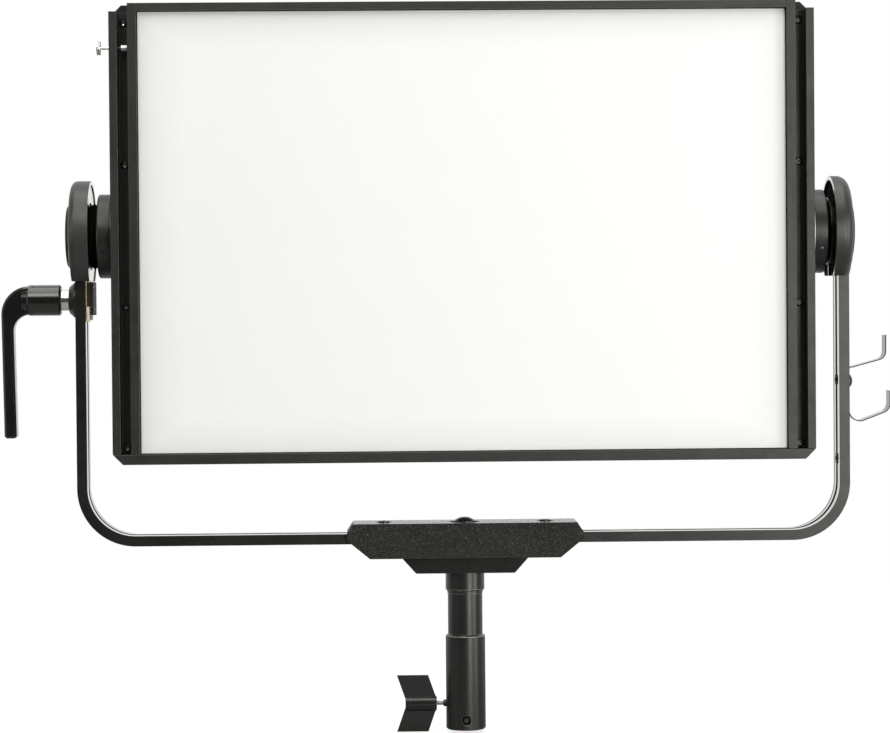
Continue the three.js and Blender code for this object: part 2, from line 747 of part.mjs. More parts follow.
function displayWindow() {
  return box(
    [DISPLAY.left + GAP, DISPLAY.right - GAP],
    [PANEL_BACK - DISPLAY.pocket + 0.1, PANEL_BACK + 0.4],
    [DISPLAY.low + GAP, DISPLAY.high - GAP],
  );
}

// The dimmer knob, with its shaft, turning about Y.
function dimmerKnob() {
  const base = PANEL_BACK + 0.6;
  const top = HEAD_BACK - 1;
  return turnedBack([
    [0, base - 12],
    [DIMMER_SHAFT_RADIUS, base - 12],
    [DIMMER_SHAFT_RADIUS, base],
    [DIMMER_RADIUS, base],
    [DIMMER_RADIUS, base + 2],
    [DIMMER_RADIUS - 1.5, base + 3],
    [DIMMER_RADIUS - 2, top - 1],
    [DIMMER_RADIUS - 3, top],
    [0, top],
  ]);
}

// The power rocker about its own pivot, pressed down on one side.
function powerSwitch() {
  const half = SWITCH_LENGTH / 2;
  const root = -5;
  const crest = 1.5;
  const section = new THREE.Shape();
  section.moveTo(-half, root);
  section.lineTo(half, root);
  section.lineTo(half, crest);
  section.quadraticCurveTo(0, -0.4, -half, crest);
  section.closePath();
  return extrude(section, SWITCH_WIDTH, { curveSegments: 8 }).translate(0, 0, -SWITCH_WIDTH / 2);
}

// A round four-pin socket behind a square flange.
function powerInlet() {
  const rim = HEAD_BACK + 3.5;
  const floor = HEAD_BACK - 12;
  const pinCircle = 4.6;
  const flange = solid(extrudeBack(chamferedRectangle(15, -15, 15, 3), HEAD_BACK + GAP, HEAD_BACK + 2.3));
  const barrel = solid(turnedBack(rod(INLET_BARREL_RADIUS, HEAD_BACK - 18, rim)));
  const bore = solid(turnedBack(rod(INLET_BARREL_RADIUS - 3, floor, rim + CUT), SMALL_ROUND));
  const shell = flange.add(barrel).subtract(bore);
  const pins = [45, 135, 225, 315].map((degrees) => {
    const angle = THREE.MathUtils.degToRad(degrees);
    const pin = turnedBack(rod(1.2, floor - 1, HEAD_BACK - 2), 8);
    return solid(pin.translate(pinCircle * Math.cos(angle), 0, pinCircle * Math.sin(angle)));
  });
  return joinAll([shell, ...pins]);
}

place(head, 'control_panel', controlPanel(), blackAnodised);
place(head, 'display_window', displayWindow(), smokedGlass);
place(head, 'dimmer_knob', dimmerKnob(), blackPlastic, [DIMMER_X, 0, PANEL_Z]);
place(head, 'power_inlet', powerInlet(), blackSteel, [INLET_X, 0, PANEL_Z]);
const rocker = place(head, 'power_switch', powerSwitch(), blackPlastic, [SWITCH_X, PANEL_BACK, PANEL_Z]);
rocker.rotation.z = THREE.MathUtils.degToRad(SWITCH_TILT);

// ---------------------------------------------------------------- pivots

function pivotRing(side) {
  const inner = HEAD_HALF_WIDTH + GAP;
  const outer = inner + RING_THICKNESS;
  const bore = BOLT_RADIUS + 1;
  return turnedAcross([
    [bore, inner],
    [RING_RADIUS, inner],
    [RING_RADIUS, outer],
    [bore, outer],
    [bore, inner],
  ], side);
}

function pivotBoss(side) {
  const fillet = 1.8;
  const boltEnd = BOSS_OUTER - BOLT_REACH;
  return turnedAcross([
    [0, BOSS_INNER],
    [BOSS_RADIUS, BOSS_INNER],
    ...arcPoints(BOSS_RADIUS - fillet, BOSS_OUTER - fillet, fillet, 0, 90, 1),
    [BOLT_RADIUS + GAP, BOSS_OUTER],
    [BOLT_RADIUS + GAP, boltEnd],
    [0, boltEnd],
  ], side, LARGE_ROUND);
}

// The bolt that the head turns on: its head is under the cap and its end is in the boss.
function pivotBolt(side) {
  const headInner = END_OUTER + GAP;
  const headOuter = headInner + 2.6;
  const end = BOSS_OUTER - BOLT_REACH + GAP;
  const socketRadius = 4;
  const socketFloor = headOuter - 2;
  return turnedAcross([
    [0, end],
    [BOLT_RADIUS, end],
    [BOLT_RADIUS, headInner],
    [BOLT_HEAD_RADIUS, headInner],
    [BOLT_HEAD_RADIUS, headOuter],
    [socketRadius, headOuter],
    [socketRadius, socketFloor],
    [0, socketFloor],
  ], side, SMALL_ROUND);
}

// The friction disc, with a ridge round its rim.
function frictionDisc(side) {
  const inner = BOSS_OUTER + GAP;
  const outer = END_INNER - 0.2;
  const ridge = 3.2;
  const base = DISC_RADIUS - ridge;
  const bore = BOLT_RADIUS + RUNNING_GAP;
  return turnedAcross([
    [bore, inner],
    [base, inner],
    [DISC_RADIUS, (inner + outer) / 2],
    [base, outer],
    [bore, outer],
    [bore, inner],
  ], side, LARGE_ROUND);
}

// The round end of the yoke arm, cut flat below, with a pocket for the bar.
function yokeEnd(side) {
  const disc = turnedAcross([
    [BOLT_RADIUS + RUNNING_GAP, END_INNER],
    [END_RADIUS - 0.8, END_INNER],
    [END_RADIUS, END_INNER + 0.8],
    ...arcPoints(END_RADIUS - END_FILLET, END_OUTER - END_FILLET, END_FILLET, 0, 90, 3),
    [BOLT_RADIUS + RUNNING_GAP, END_OUTER],
    [BOLT_RADIUS + RUNNING_GAP, END_INNER],
  ], side, LARGE_ROUND).translate(0, 0, PIVOT_HEIGHT);
  const across = [-END_RADIUS - CUT, END_RADIUS + CUT];
  const below = box(
    sideRange(side, END_INNER - CUT, END_OUTER + CUT),
    across,
    [PIVOT_HEIGHT - END_RADIUS - CUT, PIVOT_HEIGHT + END_BOTTOM],
  );
  const lowerFace = box(
    sideRange(side, END_LOWER_FACE, END_OUTER + CUT),
    across,
    [PIVOT_HEIGHT - END_RADIUS - CUT, PIVOT_HEIGHT - CAP_RADIUS],
  );
  const pocket = box(
    sideRange(side, BAR_OUTER - BAR_THICKNESS - GAP, BAR_OUTER + GAP),
    [-BAR_DEPTH / 2 - GAP, BAR_DEPTH / 2 + GAP],
    [PIVOT_HEIGHT + END_BOTTOM - CUT, BAR_TOP + GAP],
  );
  return cutAll(solid(disc), [below, lowerFace, pocket].map(solid));
}

// The domed cover over the bolt head, hollow behind.
function pivotCap(side) {
  const inner = END_OUTER + 0.1;
  const fillet = 3.4;
  const wall = 1.2;
  const hollow = BOLT_HEAD_RADIUS + 3;
  return turnedAcross([
    [hollow, inner],
    [CAP_RADIUS, inner],
    [CAP_RADIUS, CAP_OUTER - fillet],
    [CAP_RADIUS - 1, CAP_OUTER - fillet / 3],
    [CAP_RADIUS - fillet, CAP_OUTER - 0.4],
    [0, CAP_OUTER],
    [0, CAP_OUTER - wall],
    [hollow, CAP_OUTER - wall],
    [hollow, inner],
  ], side, LARGE_ROUND);
}

for (const [word, side] of SIDES) {
  place(head, `pivot_ring_${word}`, pivotRing(side), brightSteel);
  place(head, `pivot_boss_${word}`, pivotBoss(side), blackPaint);
  place(head, `pivot_bolt_${word}`, pivotBolt(side), blackSteel);
  place(yoke, `friction_disc_${word}`, frictionDisc(side), blackPlastic, [0, 0, PIVOT_HEIGHT]);
  place(yoke, `yoke_end_${word}`, yokeEnd(side), blackPaint);
  place(yoke, `pivot_cap_${word}`, pivotCap(side), blackPaint, [0, 0, PIVOT_HEIGHT]);
}

// ---------------------------------------------------------------- yoke bar

// The outline of the U, drawn in by an inset from the bar's outer face.
function yokeOutline(inset, top) {
  const half = BAR_OUTER - inset;
  const low = BAR_BOTTOM + inset;
  const radius = BAR_CORNER_RADIUS - inset;
  return shapeOf([
    [-half, top],
    ...arcPoints(-half + radius, low + radius, radius, 180, 270, 8),
    ...arcPoints(half - radius, low + radius, radius, 270, 360, 8),
    [half, top],
  ]);
}

function yokeBar() {
  const depth = BAR_DEPTH / 2;
  const whole = solid(extrudeBack(yokeOutline(0, BAR_TOP), -depth, depth));
  const inside = yokeOutline(BAR_THICKNESS, BAR_TOP + CUT);
  const cutters = [solid(extrudeBack(inside, -depth - CUT, depth + CUT))];
  for (const groove of BAR_GROOVES) {
    const inset = BAR_THICKNESS - groove.depth;
    cutters.push(solid(extrudeBack(yokeOutline(inset, BAR_TOP + CUT), groove.from, groove.to)));
  }
  const throughArm = [BAR_OUTER - BAR_THICKNESS - CUT, BAR_OUTER + CUT];
  const throughBase = [BAR_BOTTOM - CUT, BLOCK_TOP];
  const studHole = turnedAcross(rod(LEVER_STUD_RADIUS + GAP, ...throughArm), -1, SMALL_ROUND);
  const hookHole = turnedAcross(rod(HOOK_SCREW_RADIUS + GAP, ...throughArm), 1, TINY_ROUND);
  const boltHole = turnedUp(rod(CENTRE_BOLT_RADIUS + GAP, ...throughBase), SMALL_ROUND);
  const holes = [
    studHole.translate(0, 0, LOCK_HEIGHT),
    hookHole.translate(0, 0, HOOK_SCREW_HEIGHT),
    boltHole,
  ];
  for (const [, side] of SIDES) {
    const screwHole = turnedUp(rod(BLOCK_SCREW_RADIUS + GAP, ...throughBase), TINY_ROUND);
    holes.push(screwHole.translate(side * BLOCK_SCREW_X, 0, 0));
  }
  return cutAll(whole, [...cutters, ...holes.map(solid)]);
}

place(yoke, 'yoke_bar', yokeBar(), blackPaint);

// ---------------------------------------------------------------- tilt lock

// The cone-shaped washer under the lever's shaft.
function lockBase() {
  const bore = LEVER_STUD_RADIUS + GAP;
  const inner = BAR_OUTER + GAP;
  return turnedAcross([
    [bore, inner],
    [LOCK_BASE_RADIUS, inner],
    [LOCK_BASE_RADIUS, inner + 1.3],
    [LEVER_SHAFT_RADIUS + 1.5, LOCK_BASE_OUTER],
    [bore, LOCK_BASE_OUTER],
    [bore, inner],
  ], -1);
}

// The bright shaft between the arm and the lever, with its stud through the arm.
function leverShaft() {
  const start = LOCK_BASE_OUTER + GAP;
  return turnedAcross([
    [0, CLAMP_PAD.inner + 1],
    [LEVER_STUD_RADIUS, CLAMP_PAD.inner + 1],
    [LEVER_STUD_RADIUS, start],
    [LEVER_SHAFT_RADIUS, start],
    [LEVER_SHAFT_RADIUS, LEVER_HUB_INNER],
    [0, LEVER_HUB_INNER],
  ], -1);
}

// The hub with its elbow and the flat arm that hangs from it, about the lever's axis.
function leverHandle() {
  const chamfer = 1.6;
  const start = LEVER_HUB_INNER + GAP;
  const hub = turnedAcross([
    [0, start],
    [LEVER_HUB_RADIUS - chamfer, start],
    [LEVER_HUB_RADIUS, start + chamfer],
    [LEVER_HUB_RADIUS, LEVER_HUB_OUTER - chamfer],
    [LEVER_HUB_RADIUS - chamfer, LEVER_HUB_OUTER],
    [0, LEVER_HUB_OUTER],
  ], -1);
  const outerX = -LEVER_HUB_OUTER - LEVER_ELBOW_RADIUS + 0.6;
  const innerX = outerX + LEVER_WIDTH;
  const centreX = outerX + LEVER_ELBOW_RADIUS;
  const innerRadius = centreX - innerX;
  const halfHub = LEVER_ELBOW_RADIUS / 2;
  const rootX = centreX + 3;
  const outline = shapeOf([
    [rootX, halfHub],
    ...arcPoints(centreX, -halfHub, LEVER_ELBOW_RADIUS, 90, 180, 8),
    [outerX + LEVER_LEAN, LEVER_END + LEVER_END_CHAMFER],
    [outerX + LEVER_LEAN + LEVER_END_CHAMFER, LEVER_END],
    [innerX + LEVER_LEAN - LEVER_END_CHAMFER, LEVER_END],
    [innerX + LEVER_LEAN, LEVER_END + LEVER_END_CHAMFER],
    ...arcPoints(centreX, -halfHub - innerRadius, innerRadius, 180, 90, 6),
    [rootX, -halfHub],
  ]);
  const arm = extrudeBack(outline, -LEVER_DEPTH / 2, LEVER_DEPTH / 2);
  return solid(hub).add(solid(arm));
}

// A flat piece of the clamp, with holes for the lever's stud and for the two screws.
function clampBlock(part) {
  const z = [PIVOT_HEIGHT + part.low, PIVOT_HEIGHT + part.high];
  const block = solid(box(sideRange(-1, part.inner, part.outer), [-part.depth / 2, part.depth / 2], z));
  const through = [part.inner - CUT, part.outer + CUT];
  const studHole = turnedAcross(rod(LEVER_STUD_RADIUS + RUNNING_GAP, ...through), -1, SMALL_ROUND);
  const cutters = [solid(studHole.translate(0, 0, LOCK_HEIGHT))];
  for (const height of Object.values(CLAMP_SCREW_HEIGHTS)) {
    const hole = turnedAcross(rod(CLAMP_SCREW_RADIUS + GAP, ...through), -1, 8);
    cutters.push(solid(hole.translate(0, CLAMP_SCREW_Y, PIVOT_HEIGHT + height)));
  }
  return cutAll(block, cutters);
}

function clampScrew() {
  const seat = CLAMP_PLATE.inner - 0.2;
  const end = CLAMP_PAD.outer - 1;
  const headRadius = 2 * CLAMP_SCREW_RADIUS;
  return turnedAcross([
    [0, seat - 2],
    [headRadius - 1.2, seat - 1.8],
    [headRadius, seat - 0.9],
    [headRadius, seat],
    [CLAMP_SCREW_RADIUS, seat],
    [CLAMP_SCREW_RADIUS, end],
    [0, end],
  ], -1, TINY_ROUND);
}

place(yoke, 'lock_base', lockBase(), blackPaint, [0, 0, LOCK_HEIGHT]);
place(yoke, 'lever_shaft', leverShaft(), brightSteel, [0, 0, LOCK_HEIGHT]);
place(yoke, 'lever_handle', leverHandle(), blackPaint, [0, 0, LOCK_HEIGHT]);
place(yoke, 'clamp_pad', clampBlock(CLAMP_PAD), brass);
place(yoke, 'clamp_plate', clampBlock(CLAMP_PLATE), blackSteel);
for (const [word, height] of Object.entries(CLAMP_SCREW_HEIGHTS)) {
  place(yoke, `clamp_screw_${word}`, clampScrew(), brightSteel, [0, CLAMP_SCREW_Y, PIVOT_HEIGHT + height]);
}

// ---------------------------------------------------------------- cable hooks

// The strip runs from the tip of the upper hook, down the arm, to the tip of the lower hook.
function hookBracket() {
  const flat = BAR_OUTER + GAP + HOOK_STRIP / 2;
  const path = [
    [418.1, -103.2],
    ...arcPoints(409.6, -119.4, 8.4, 0, -70, 5),
    [385.4, -134.6],
    ...arcPoints(flat + 3, -137.6, 3, 110, 180, 4),
    ...arcPoints(flat + 12, -176.2, 12, 180, 250, 5),
    ...arcPoints(392.6, -180.2, 7.9, 255, 284, 2),
    ...arcPoints(412.2, -170.6, 10, -65, 0, 5),
    [422.2, -158.2],
  ];
  const raised = path.map(([x, z]) => [x, z + PIVOT_HEIGHT]);
  const strip = solid(extrudeBack(stripShape(raised, HOOK_STRIP), -HOOK_DEPTH / 2, HOOK_DEPTH / 2));
  const hole = turnedAcross(rod(HOOK_SCREW_RADIUS + GAP, BAR_OUTER - CUT, flat + CUT), 1, TINY_ROUND);
  return strip.subtract(solid(hole.translate(0, 0, HOOK_SCREW_HEIGHT)));
}

function hookScrew() {
  const face = BAR_OUTER + GAP + HOOK_STRIP + 0.2;
  const end = BAR_OUTER - 6;
  const headRadius = 7.6;
  const headTop = face + 4.2;
  const socketRadius = 2.4;
  const socketFloor = face + 2;
  return turnedAcross([
    [0, end],
    [HOOK_SCREW_RADIUS, end],
    [HOOK_SCREW_RADIUS, face],
    [headRadius, face],
    [headRadius, face + 1.2],
    [headRadius - 4, headTop],
    [socketRadius, headTop],
    [socketRadius, socketFloor],
    [0, socketFloor],
  ], 1, SMALL_ROUND);
}

place(yoke, 'hook_bracket', hookBracket(), blackSteel);
place(yoke, 'hook_screw', hookScrew(), blackSteel, [0, 0, HOOK_SCREW_HEIGHT]);

// ---------------------------------------------------------------- base block

const BLOCK_SPLIT = BAR_BOTTOM + BAR_THICKNESS + 0.2;

function blockOutline() {
  return shapeOf([
    [-BLOCK_FOOT, BLOCK_BOTTOM],
    [BLOCK_FOOT, BLOCK_BOTTOM],
    [BLOCK_NOSE, BLOCK_NOSE_BOTTOM],
    [BLOCK_NOSE, BLOCK_NOSE_TOP],
    [BLOCK_SHOULDER, BLOCK_TOP],
    [-BLOCK_SHOULDER, BLOCK_TOP],
    [-BLOCK_NOSE, BLOCK_NOSE_TOP],
    [-BLOCK_NOSE, BLOCK_NOSE_BOTTOM],
  ]);
}

function blockHoles() {
  const top = BLOCK_TOP + CUT;
  const holes = [
    turnedUp(rod(CENTRE_BOLT_RADIUS + GAP, BLOCK_BOTTOM - CUT, top), SMALL_ROUND),
    turnedUp(rod(CENTRE_BOLT_HEAD_RADIUS + 3.2, BLOCK_TOP - CENTRE_BOLT_RECESS, top)),
  ];
  for (const [, side] of SIDES) {
    const shank = turnedUp(rod(BLOCK_SCREW_RADIUS + GAP, BLOCK_BOTTOM + 5, top), TINY_ROUND);
    const recess = turnedUp(rod(BLOCK_SCREW_RECESS_RADIUS, BLOCK_TOP - BLOCK_SCREW_RECESS, top), SMALL_ROUND);
    holes.push(shank.translate(side * BLOCK_SCREW_X, 0, 0));
    holes.push(recess.translate(side * BLOCK_SCREW_X, 0, 0));
  }
  return holes.map(solid);
}

// The two halves of the block, which clamp the bar between them.
function blockHalf(isUpper) {
  const half = BLOCK_DEPTH / 2;
  const whole = solid(extrudeBack(blockOutline(), -half, half));
  const across = [-BLOCK_NOSE - CUT, BLOCK_NOSE + CUT];
  const rest = isUpper ? [BLOCK_BOTTOM - CUT, BLOCK_SPLIT + 0.1] : [BLOCK_SPLIT, BLOCK_TOP + CUT];
  const cutters = [solid(box(across, [-half - CUT, half + CUT], rest)), ...blockHoles()];
  if (!isUpper) {
    const channel = box(
      across,
      [-BAR_DEPTH / 2 - GAP, BAR_DEPTH / 2 + GAP],
      [BAR_BOTTOM - GAP, BLOCK_SPLIT + CUT],
    );
    cutters.push(solid(channel));
  }
  return cutAll(whole, cutters);
}

function lowerPlate() {
  const top = BLOCK_BOTTOM - GAP;
  const outline = shapeOf([
    [-LOWER_PLATE_BOTTOM_HALF, LOWER_PLATE_BOTTOM],
    [LOWER_PLATE_BOTTOM_HALF, LOWER_PLATE_BOTTOM],
    [LOWER_PLATE_TOP_HALF, top],
    [-LOWER_PLATE_TOP_HALF, top],
  ]);
  const plate = solid(extrudeBack(outline, -LOWER_PLATE_DEPTH / 2, LOWER_PLATE_DEPTH / 2));
  const hole = turnedUp(rod(CENTRE_BOLT_RADIUS + GAP, LOWER_PLATE_BOTTOM - CUT, top + CUT), SMALL_ROUND);
  return plate.subtract(solid(hole));
}

function centreBolt() {
  const seat = BLOCK_TOP - CENTRE_BOLT_RECESS + 0.1;
  const socketRadius = 4;
  const socketFloor = seat + 3;
  return turnedUp([
    [0, CENTRE_BOLT_END],
    [CENTRE_BOLT_RADIUS, CENTRE_BOLT_END],
    [CENTRE_BOLT_RADIUS, seat],
    [CENTRE_BOLT_HEAD_RADIUS, seat],
    [CENTRE_BOLT_HEAD_RADIUS, seat + 2.2],
    [CENTRE_BOLT_HEAD_RADIUS - 3, seat + 4.9],
    [socketRadius, seat + 6.2],
    [socketRadius, socketFloor],
    [0, socketFloor],
  ]);
}

function blockScrew() {
  const seat = BLOCK_TOP - BLOCK_SCREW_RECESS + 0.1;
  const end = BLOCK_BOTTOM + 6;
  const headTop = seat + 5.2;
  const socketRadius = 2.6;
  const socketFloor = seat + 2.6;
  return turnedUp([
    [0, end],
    [BLOCK_SCREW_RADIUS, end],
    [BLOCK_SCREW_RADIUS, seat],
    [BLOCK_SCREW_HEAD_RADIUS, seat],
    [BLOCK_SCREW_HEAD_RADIUS, headTop],
    [socketRadius, headTop],
    [socketRadius, socketFloor],
    [0, socketFloor],
  ], SMALL_ROUND);
}

place(yoke, 'base_block_upper', blockHalf(true), wrinklePaint);
place(yoke, 'base_block_lower', blockHalf(false), wrinklePaint);
place(yoke, 'lower_plate', lowerPlate(), wrinklePaint);
place(yoke, 'centre_bolt', centreBolt(), blackSteel);
for (const [word, side] of SIDES) {
  place(yoke, `block_screw_${word}`, blockScrew(), blackSteel, [side * BLOCK_SCREW_X, 0, 0]);
}

// ---------------------------------------------------------------- spigot and wing screw

// One turned piece: the sleeve with its socket, the neck and the collar.
function spigot() {
  const top = LOWER_PLATE_BOTTOM - GAP;
  const boltFloor = CENTRE_BOLT_END - 3;
  const body = turnedUp([
    [SOCKET_RADIUS, 0],
    [SLEEVE_RADIUS - 1.4, 0],
    [SLEEVE_RADIUS, 1.4],
    [SLEEVE_RADIUS, SLEEVE_TOP - 1.8],
    [NECK_RADIUS, SLEEVE_TOP],
    [NECK_RADIUS, NECK_TOP],
    [COLLAR_RADIUS - 1.2, NECK_TOP],
    [COLLAR_RADIUS, NECK_TOP + 1.4],
    [COLLAR_RADIUS, top],
    [CENTRE_BOLT_RADIUS + GAP, top],
    [CENTRE_BOLT_RADIUS + GAP, boltFloor],
    [0, boltFloor],
    [0, SOCKET_DEPTH],
    [SOCKET_RADIUS, SOCKET_DEPTH],
    [SOCKET_RADIUS, 0],
  ], LARGE_ROUND);
  const sightHole = turnedBack([
    [0, -SLEEVE_RADIUS - CUT],
    [SIGHT_HOLE_RADIUS + 1 + CUT, -SLEEVE_RADIUS - CUT],
    [SIGHT_HOLE_RADIUS, -SLEEVE_RADIUS + 1],
    [SIGHT_HOLE_RADIUS, 0],
    [0, 0],
  ], SMALL_ROUND).translate(0, 0, SIGHT_HOLE_HEIGHT);
  const bossEnd = SLEEVE_RADIUS + 2.6;
  const threadBoss = turnedAcross(rod(THREAD_BOSS_RADIUS, SOCKET_RADIUS + 2, bossEnd), -1, SMALL_ROUND);
  const threadHole = turnedAcross(rod(THREAD_RADIUS + RUNNING_GAP, 0, bossEnd + CUT), -1, SMALL_ROUND);
  const withBoss = solid(body).add(solid(threadBoss.translate(0, 0, WING_HEIGHT)));
  return cutAll(withBoss, [solid(sightHole), solid(threadHole.translate(0, 0, WING_HEIGHT))]);
}

function wingThread() {
  const end = SOCKET_RADIUS + 1;
  return turnedAcross([
    [0, end],
    [THREAD_RADIUS - 0.6, end],
    [THREAD_RADIUS, end + 0.6],
    [THREAD_RADIUS, WING_INNER - GAP],
    [0, WING_INNER - GAP],
  ], -1, SMALL_ROUND);
}

// The wing: a round bar along X with two flat leaves that sweep away from the sleeve.
function wingHandle() {
  const outer = WING_INNER + WING_LENGTH;
  const chamfer = 0.8;
  const root = 4;
  const hub = turnedAcross([
    [0, WING_INNER],
    [WING_HUB_RADIUS - chamfer, WING_INNER],
    [WING_HUB_RADIUS, WING_INNER + chamfer],
    [WING_HUB_RADIUS, outer - chamfer],
    [WING_HUB_RADIUS - chamfer, outer],
    [0, outer],
  ], -1);
  const leaves = shapeOf([
    [-WING_INNER, root],
    [-WING_INNER - WING_SWEEP, WING_SPAN],
    [-outer - WING_SWEEP, WING_SPAN],
    [-outer, root],
    [-outer, -root],
    [-outer - WING_SWEEP, -WING_SPAN],
    [-WING_INNER - WING_SWEEP, -WING_SPAN],
    [-WING_INNER, -root],
  ]);
  return solid(hub).add(solid(extrudeBack(leaves, -WING_THICKNESS / 2, WING_THICKNESS / 2)));
}

place(yoke, 'spigot', spigot(), blackAnodised);
place(yoke, 'wing_thread', wingThread(), brightSteel, [0, 0, WING_HEIGHT]);
place(yoke, 'wing_handle', wingHandle(), blackPaint, [0, 0, WING_HEIGHT]);

// ---------------------------------------------------------------- accessory latch

// The tip in the channel, its thin stem through the outer lip and the knob to pull it by.
function latchPlunger() {
  const tipInner = WINDOW_HALF_WIDTH + INNER_LIP + 0.4;
  const tipOuter = tipInner + LATCH_TIP_LENGTH;
  const round = 0.7;
  return turnedAcross([
    [0, tipInner],
    [LATCH_TIP_RADIUS - round, tipInner],
    [LATCH_TIP_RADIUS, tipInner + round],
    [LATCH_TIP_RADIUS, tipOuter],
    [LATCH_STEM_RADIUS, tipOuter],
    [LATCH_STEM_RADIUS, LATCH_KNOB_INNER],
    [LATCH_KNOB_RADIUS, LATCH_KNOB_INNER],
    [LATCH_KNOB_RADIUS, LATCH_KNOB_OUTER],
    [0, LATCH_KNOB_OUTER],
  ], -1, SMALL_ROUND);
}

place(head, 'latch_plunger', latchPlunger(), brightSteel, [0, LATCH_Y, LATCH_HEIGHT]);

export default light;
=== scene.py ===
"""The looks of a soft LED panel light in its tilting yoke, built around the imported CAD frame.

Blender 4.5. The frame is in metres: +Z is up, the lit face looks along -Y, and the origin is the mouth of the
stand socket. Profiles and outlines here are in millimetres, and the mesh helpers turn them into metres.
"""

import math

import bmesh
import bpy
from mathutils import Matrix, Vector


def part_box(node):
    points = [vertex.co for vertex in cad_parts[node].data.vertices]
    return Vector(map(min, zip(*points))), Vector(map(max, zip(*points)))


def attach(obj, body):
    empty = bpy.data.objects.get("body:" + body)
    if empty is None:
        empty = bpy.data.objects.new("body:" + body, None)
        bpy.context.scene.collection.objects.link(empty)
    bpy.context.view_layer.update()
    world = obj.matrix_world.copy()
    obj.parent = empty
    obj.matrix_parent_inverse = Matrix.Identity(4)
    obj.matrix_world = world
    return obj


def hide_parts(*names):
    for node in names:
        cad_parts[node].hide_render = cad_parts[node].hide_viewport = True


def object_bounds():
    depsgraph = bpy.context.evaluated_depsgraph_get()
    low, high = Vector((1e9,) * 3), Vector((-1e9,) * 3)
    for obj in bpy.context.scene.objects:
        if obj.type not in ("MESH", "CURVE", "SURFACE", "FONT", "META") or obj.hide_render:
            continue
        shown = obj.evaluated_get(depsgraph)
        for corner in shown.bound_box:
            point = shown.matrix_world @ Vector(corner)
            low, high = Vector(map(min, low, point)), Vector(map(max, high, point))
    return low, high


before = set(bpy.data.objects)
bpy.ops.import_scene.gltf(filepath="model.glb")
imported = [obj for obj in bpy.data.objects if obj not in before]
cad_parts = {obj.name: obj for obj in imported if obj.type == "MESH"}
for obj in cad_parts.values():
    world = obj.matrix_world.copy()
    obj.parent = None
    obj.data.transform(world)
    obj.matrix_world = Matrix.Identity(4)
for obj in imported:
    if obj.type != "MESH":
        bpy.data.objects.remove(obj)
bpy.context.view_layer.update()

# ---------------------------------------------------------------- sizes

MM = 0.001
ROUND = 96  # sides of a large turned piece
SMALL_ROUND = 48
GAP = 0.3  # between pieces that lie against each other
SHARP = math.radians(32)
SIDES = (("left", -1), ("right", 1))

PIVOT = 490.0  # height of the tilt axis
LOCK = 427.6  # height of the tilt lever's axis
BAR_OUTER = 380.1
BAR_THICKNESS = 10.1
BAR_INNER = BAR_OUTER - BAR_THICKNESS
BAR_DEPTH = 44.0
BAR_BOTTOM = 185.5
BAR_CORNER = 57.0
BAR_TOP = PIVOT - 20
CHANNEL_X = 329.6
CHANNEL_FLOOR = -32.0
CHANNEL_SCREWS = (206.0, 68.0, -70.0, -208.0)
# The screw whose socket gets a painted highlight.
TOP_SCREW = 1
SIGHT_HEIGHT = 10.0  # of the hole in the front of the sleeve
WING_HEIGHT = 25.5

# ---------------------------------------------------------------- mesh helpers


def in_metres(x, y, z):
    return Vector((x, y, z)) * MM


def arc(centre_u, centre_v, radius, start, end, steps=8):
    """Points of a circular arc, between two angles in degrees."""
    angles = [math.radians(start + (end - start) * i / steps) for i in range(steps + 1)]
    return [(centre_u + radius * math.cos(a), centre_v + radius * math.sin(a)) for a in angles]


def rod(radius, low, high):
    return [(0, low), (radius, low), (radius, high), (0, high)]


def tube(inner, outer, low, high):
    return [(inner, low), (outer, low), (outer, high), (inner, high), (inner, low)]


AXES = {
    "x": (Vector((1, 0, 0)), Vector((0, 1, 0)), Vector((0, 0, 1))),
    "-x": (Vector((-1, 0, 0)), Vector((0, 0, 1)), Vector((0, 1, 0))),
    "y": (Vector((0, 1, 0)), Vector((0, 0, 1)), Vector((1, 0, 0))),
    "z": (Vector((0, 0, 1)), Vector((1, 0, 0)), Vector((0, 1, 0))),
}


def lathe(profile, axis, centre=(0, 0, 0), segments=ROUND, wobble=None):
    """Turns a profile of (radius, distance along the axis), which ends on the axis or closes on itself.

    wobble changes a radius by the angle round the axis, for flutes and threads.
    """
    along, across, up = AXES[axis]
    origin = Vector(centre)
    bm = bmesh.new()
    rings = []
    closed = (Vector(profile[0]) - Vector(profile[-1])).length < 1e-6
    for radius, distance in profile[:-1] if closed else profile:
        if radius < 1e-6:
            rings.append([bm.verts.new((origin + along * distance) * MM)])
            continue
        ring = []
        for i in range(segments):
            angle = 2 * math.pi * i / segments
            r = wobble(radius, distance, angle) if wobble else radius
            point = origin + along * distance + (across * math.cos(angle) + up * math.sin(angle)) * r
            ring.append(bm.verts.new(point * MM))
        rings.append(ring)
    pairs = list(zip(rings, rings[1:] + (rings[:1] if closed else [])))
    for lower, upper in pairs:
        for i in range(segments):
            j = (i + 1) % segments
            quad = [ring[k % len(ring)] for ring, k in ((lower, i), (lower, j), (upper, j), (upper, i))]
            corners = list(dict.fromkeys(quad))
            if len(corners) > 2:
                bm.faces.new(corners)
    bmesh.ops.recalc_face_normals(bm, faces=bm.faces)
    return bm


def loft(rings):
    """A closed shell over rings of points, with a flat face at each end."""
    bm = bmesh.new()
    loops = [[bm.verts.new(point) for point in ring] for ring in rings]
    bm.faces.new(loops[0])
    bm.faces.new(list(reversed(loops[-1])))
    for near, far in zip(loops, loops[1:]):
        for i in range(len(near)):
            j = (i + 1) % len(near)
            bm.faces.new([near[i], near[j], far[j], far[i]])
    bmesh.ops.recalc_face_normals(bm, faces=bm.faces)
    return bm


def prism(outline, low, high):
    """Extrudes an (x, z) outline along Y."""
    return loft([[in_metres(x, y, z) for x, z in outline] for y in (low, high)])


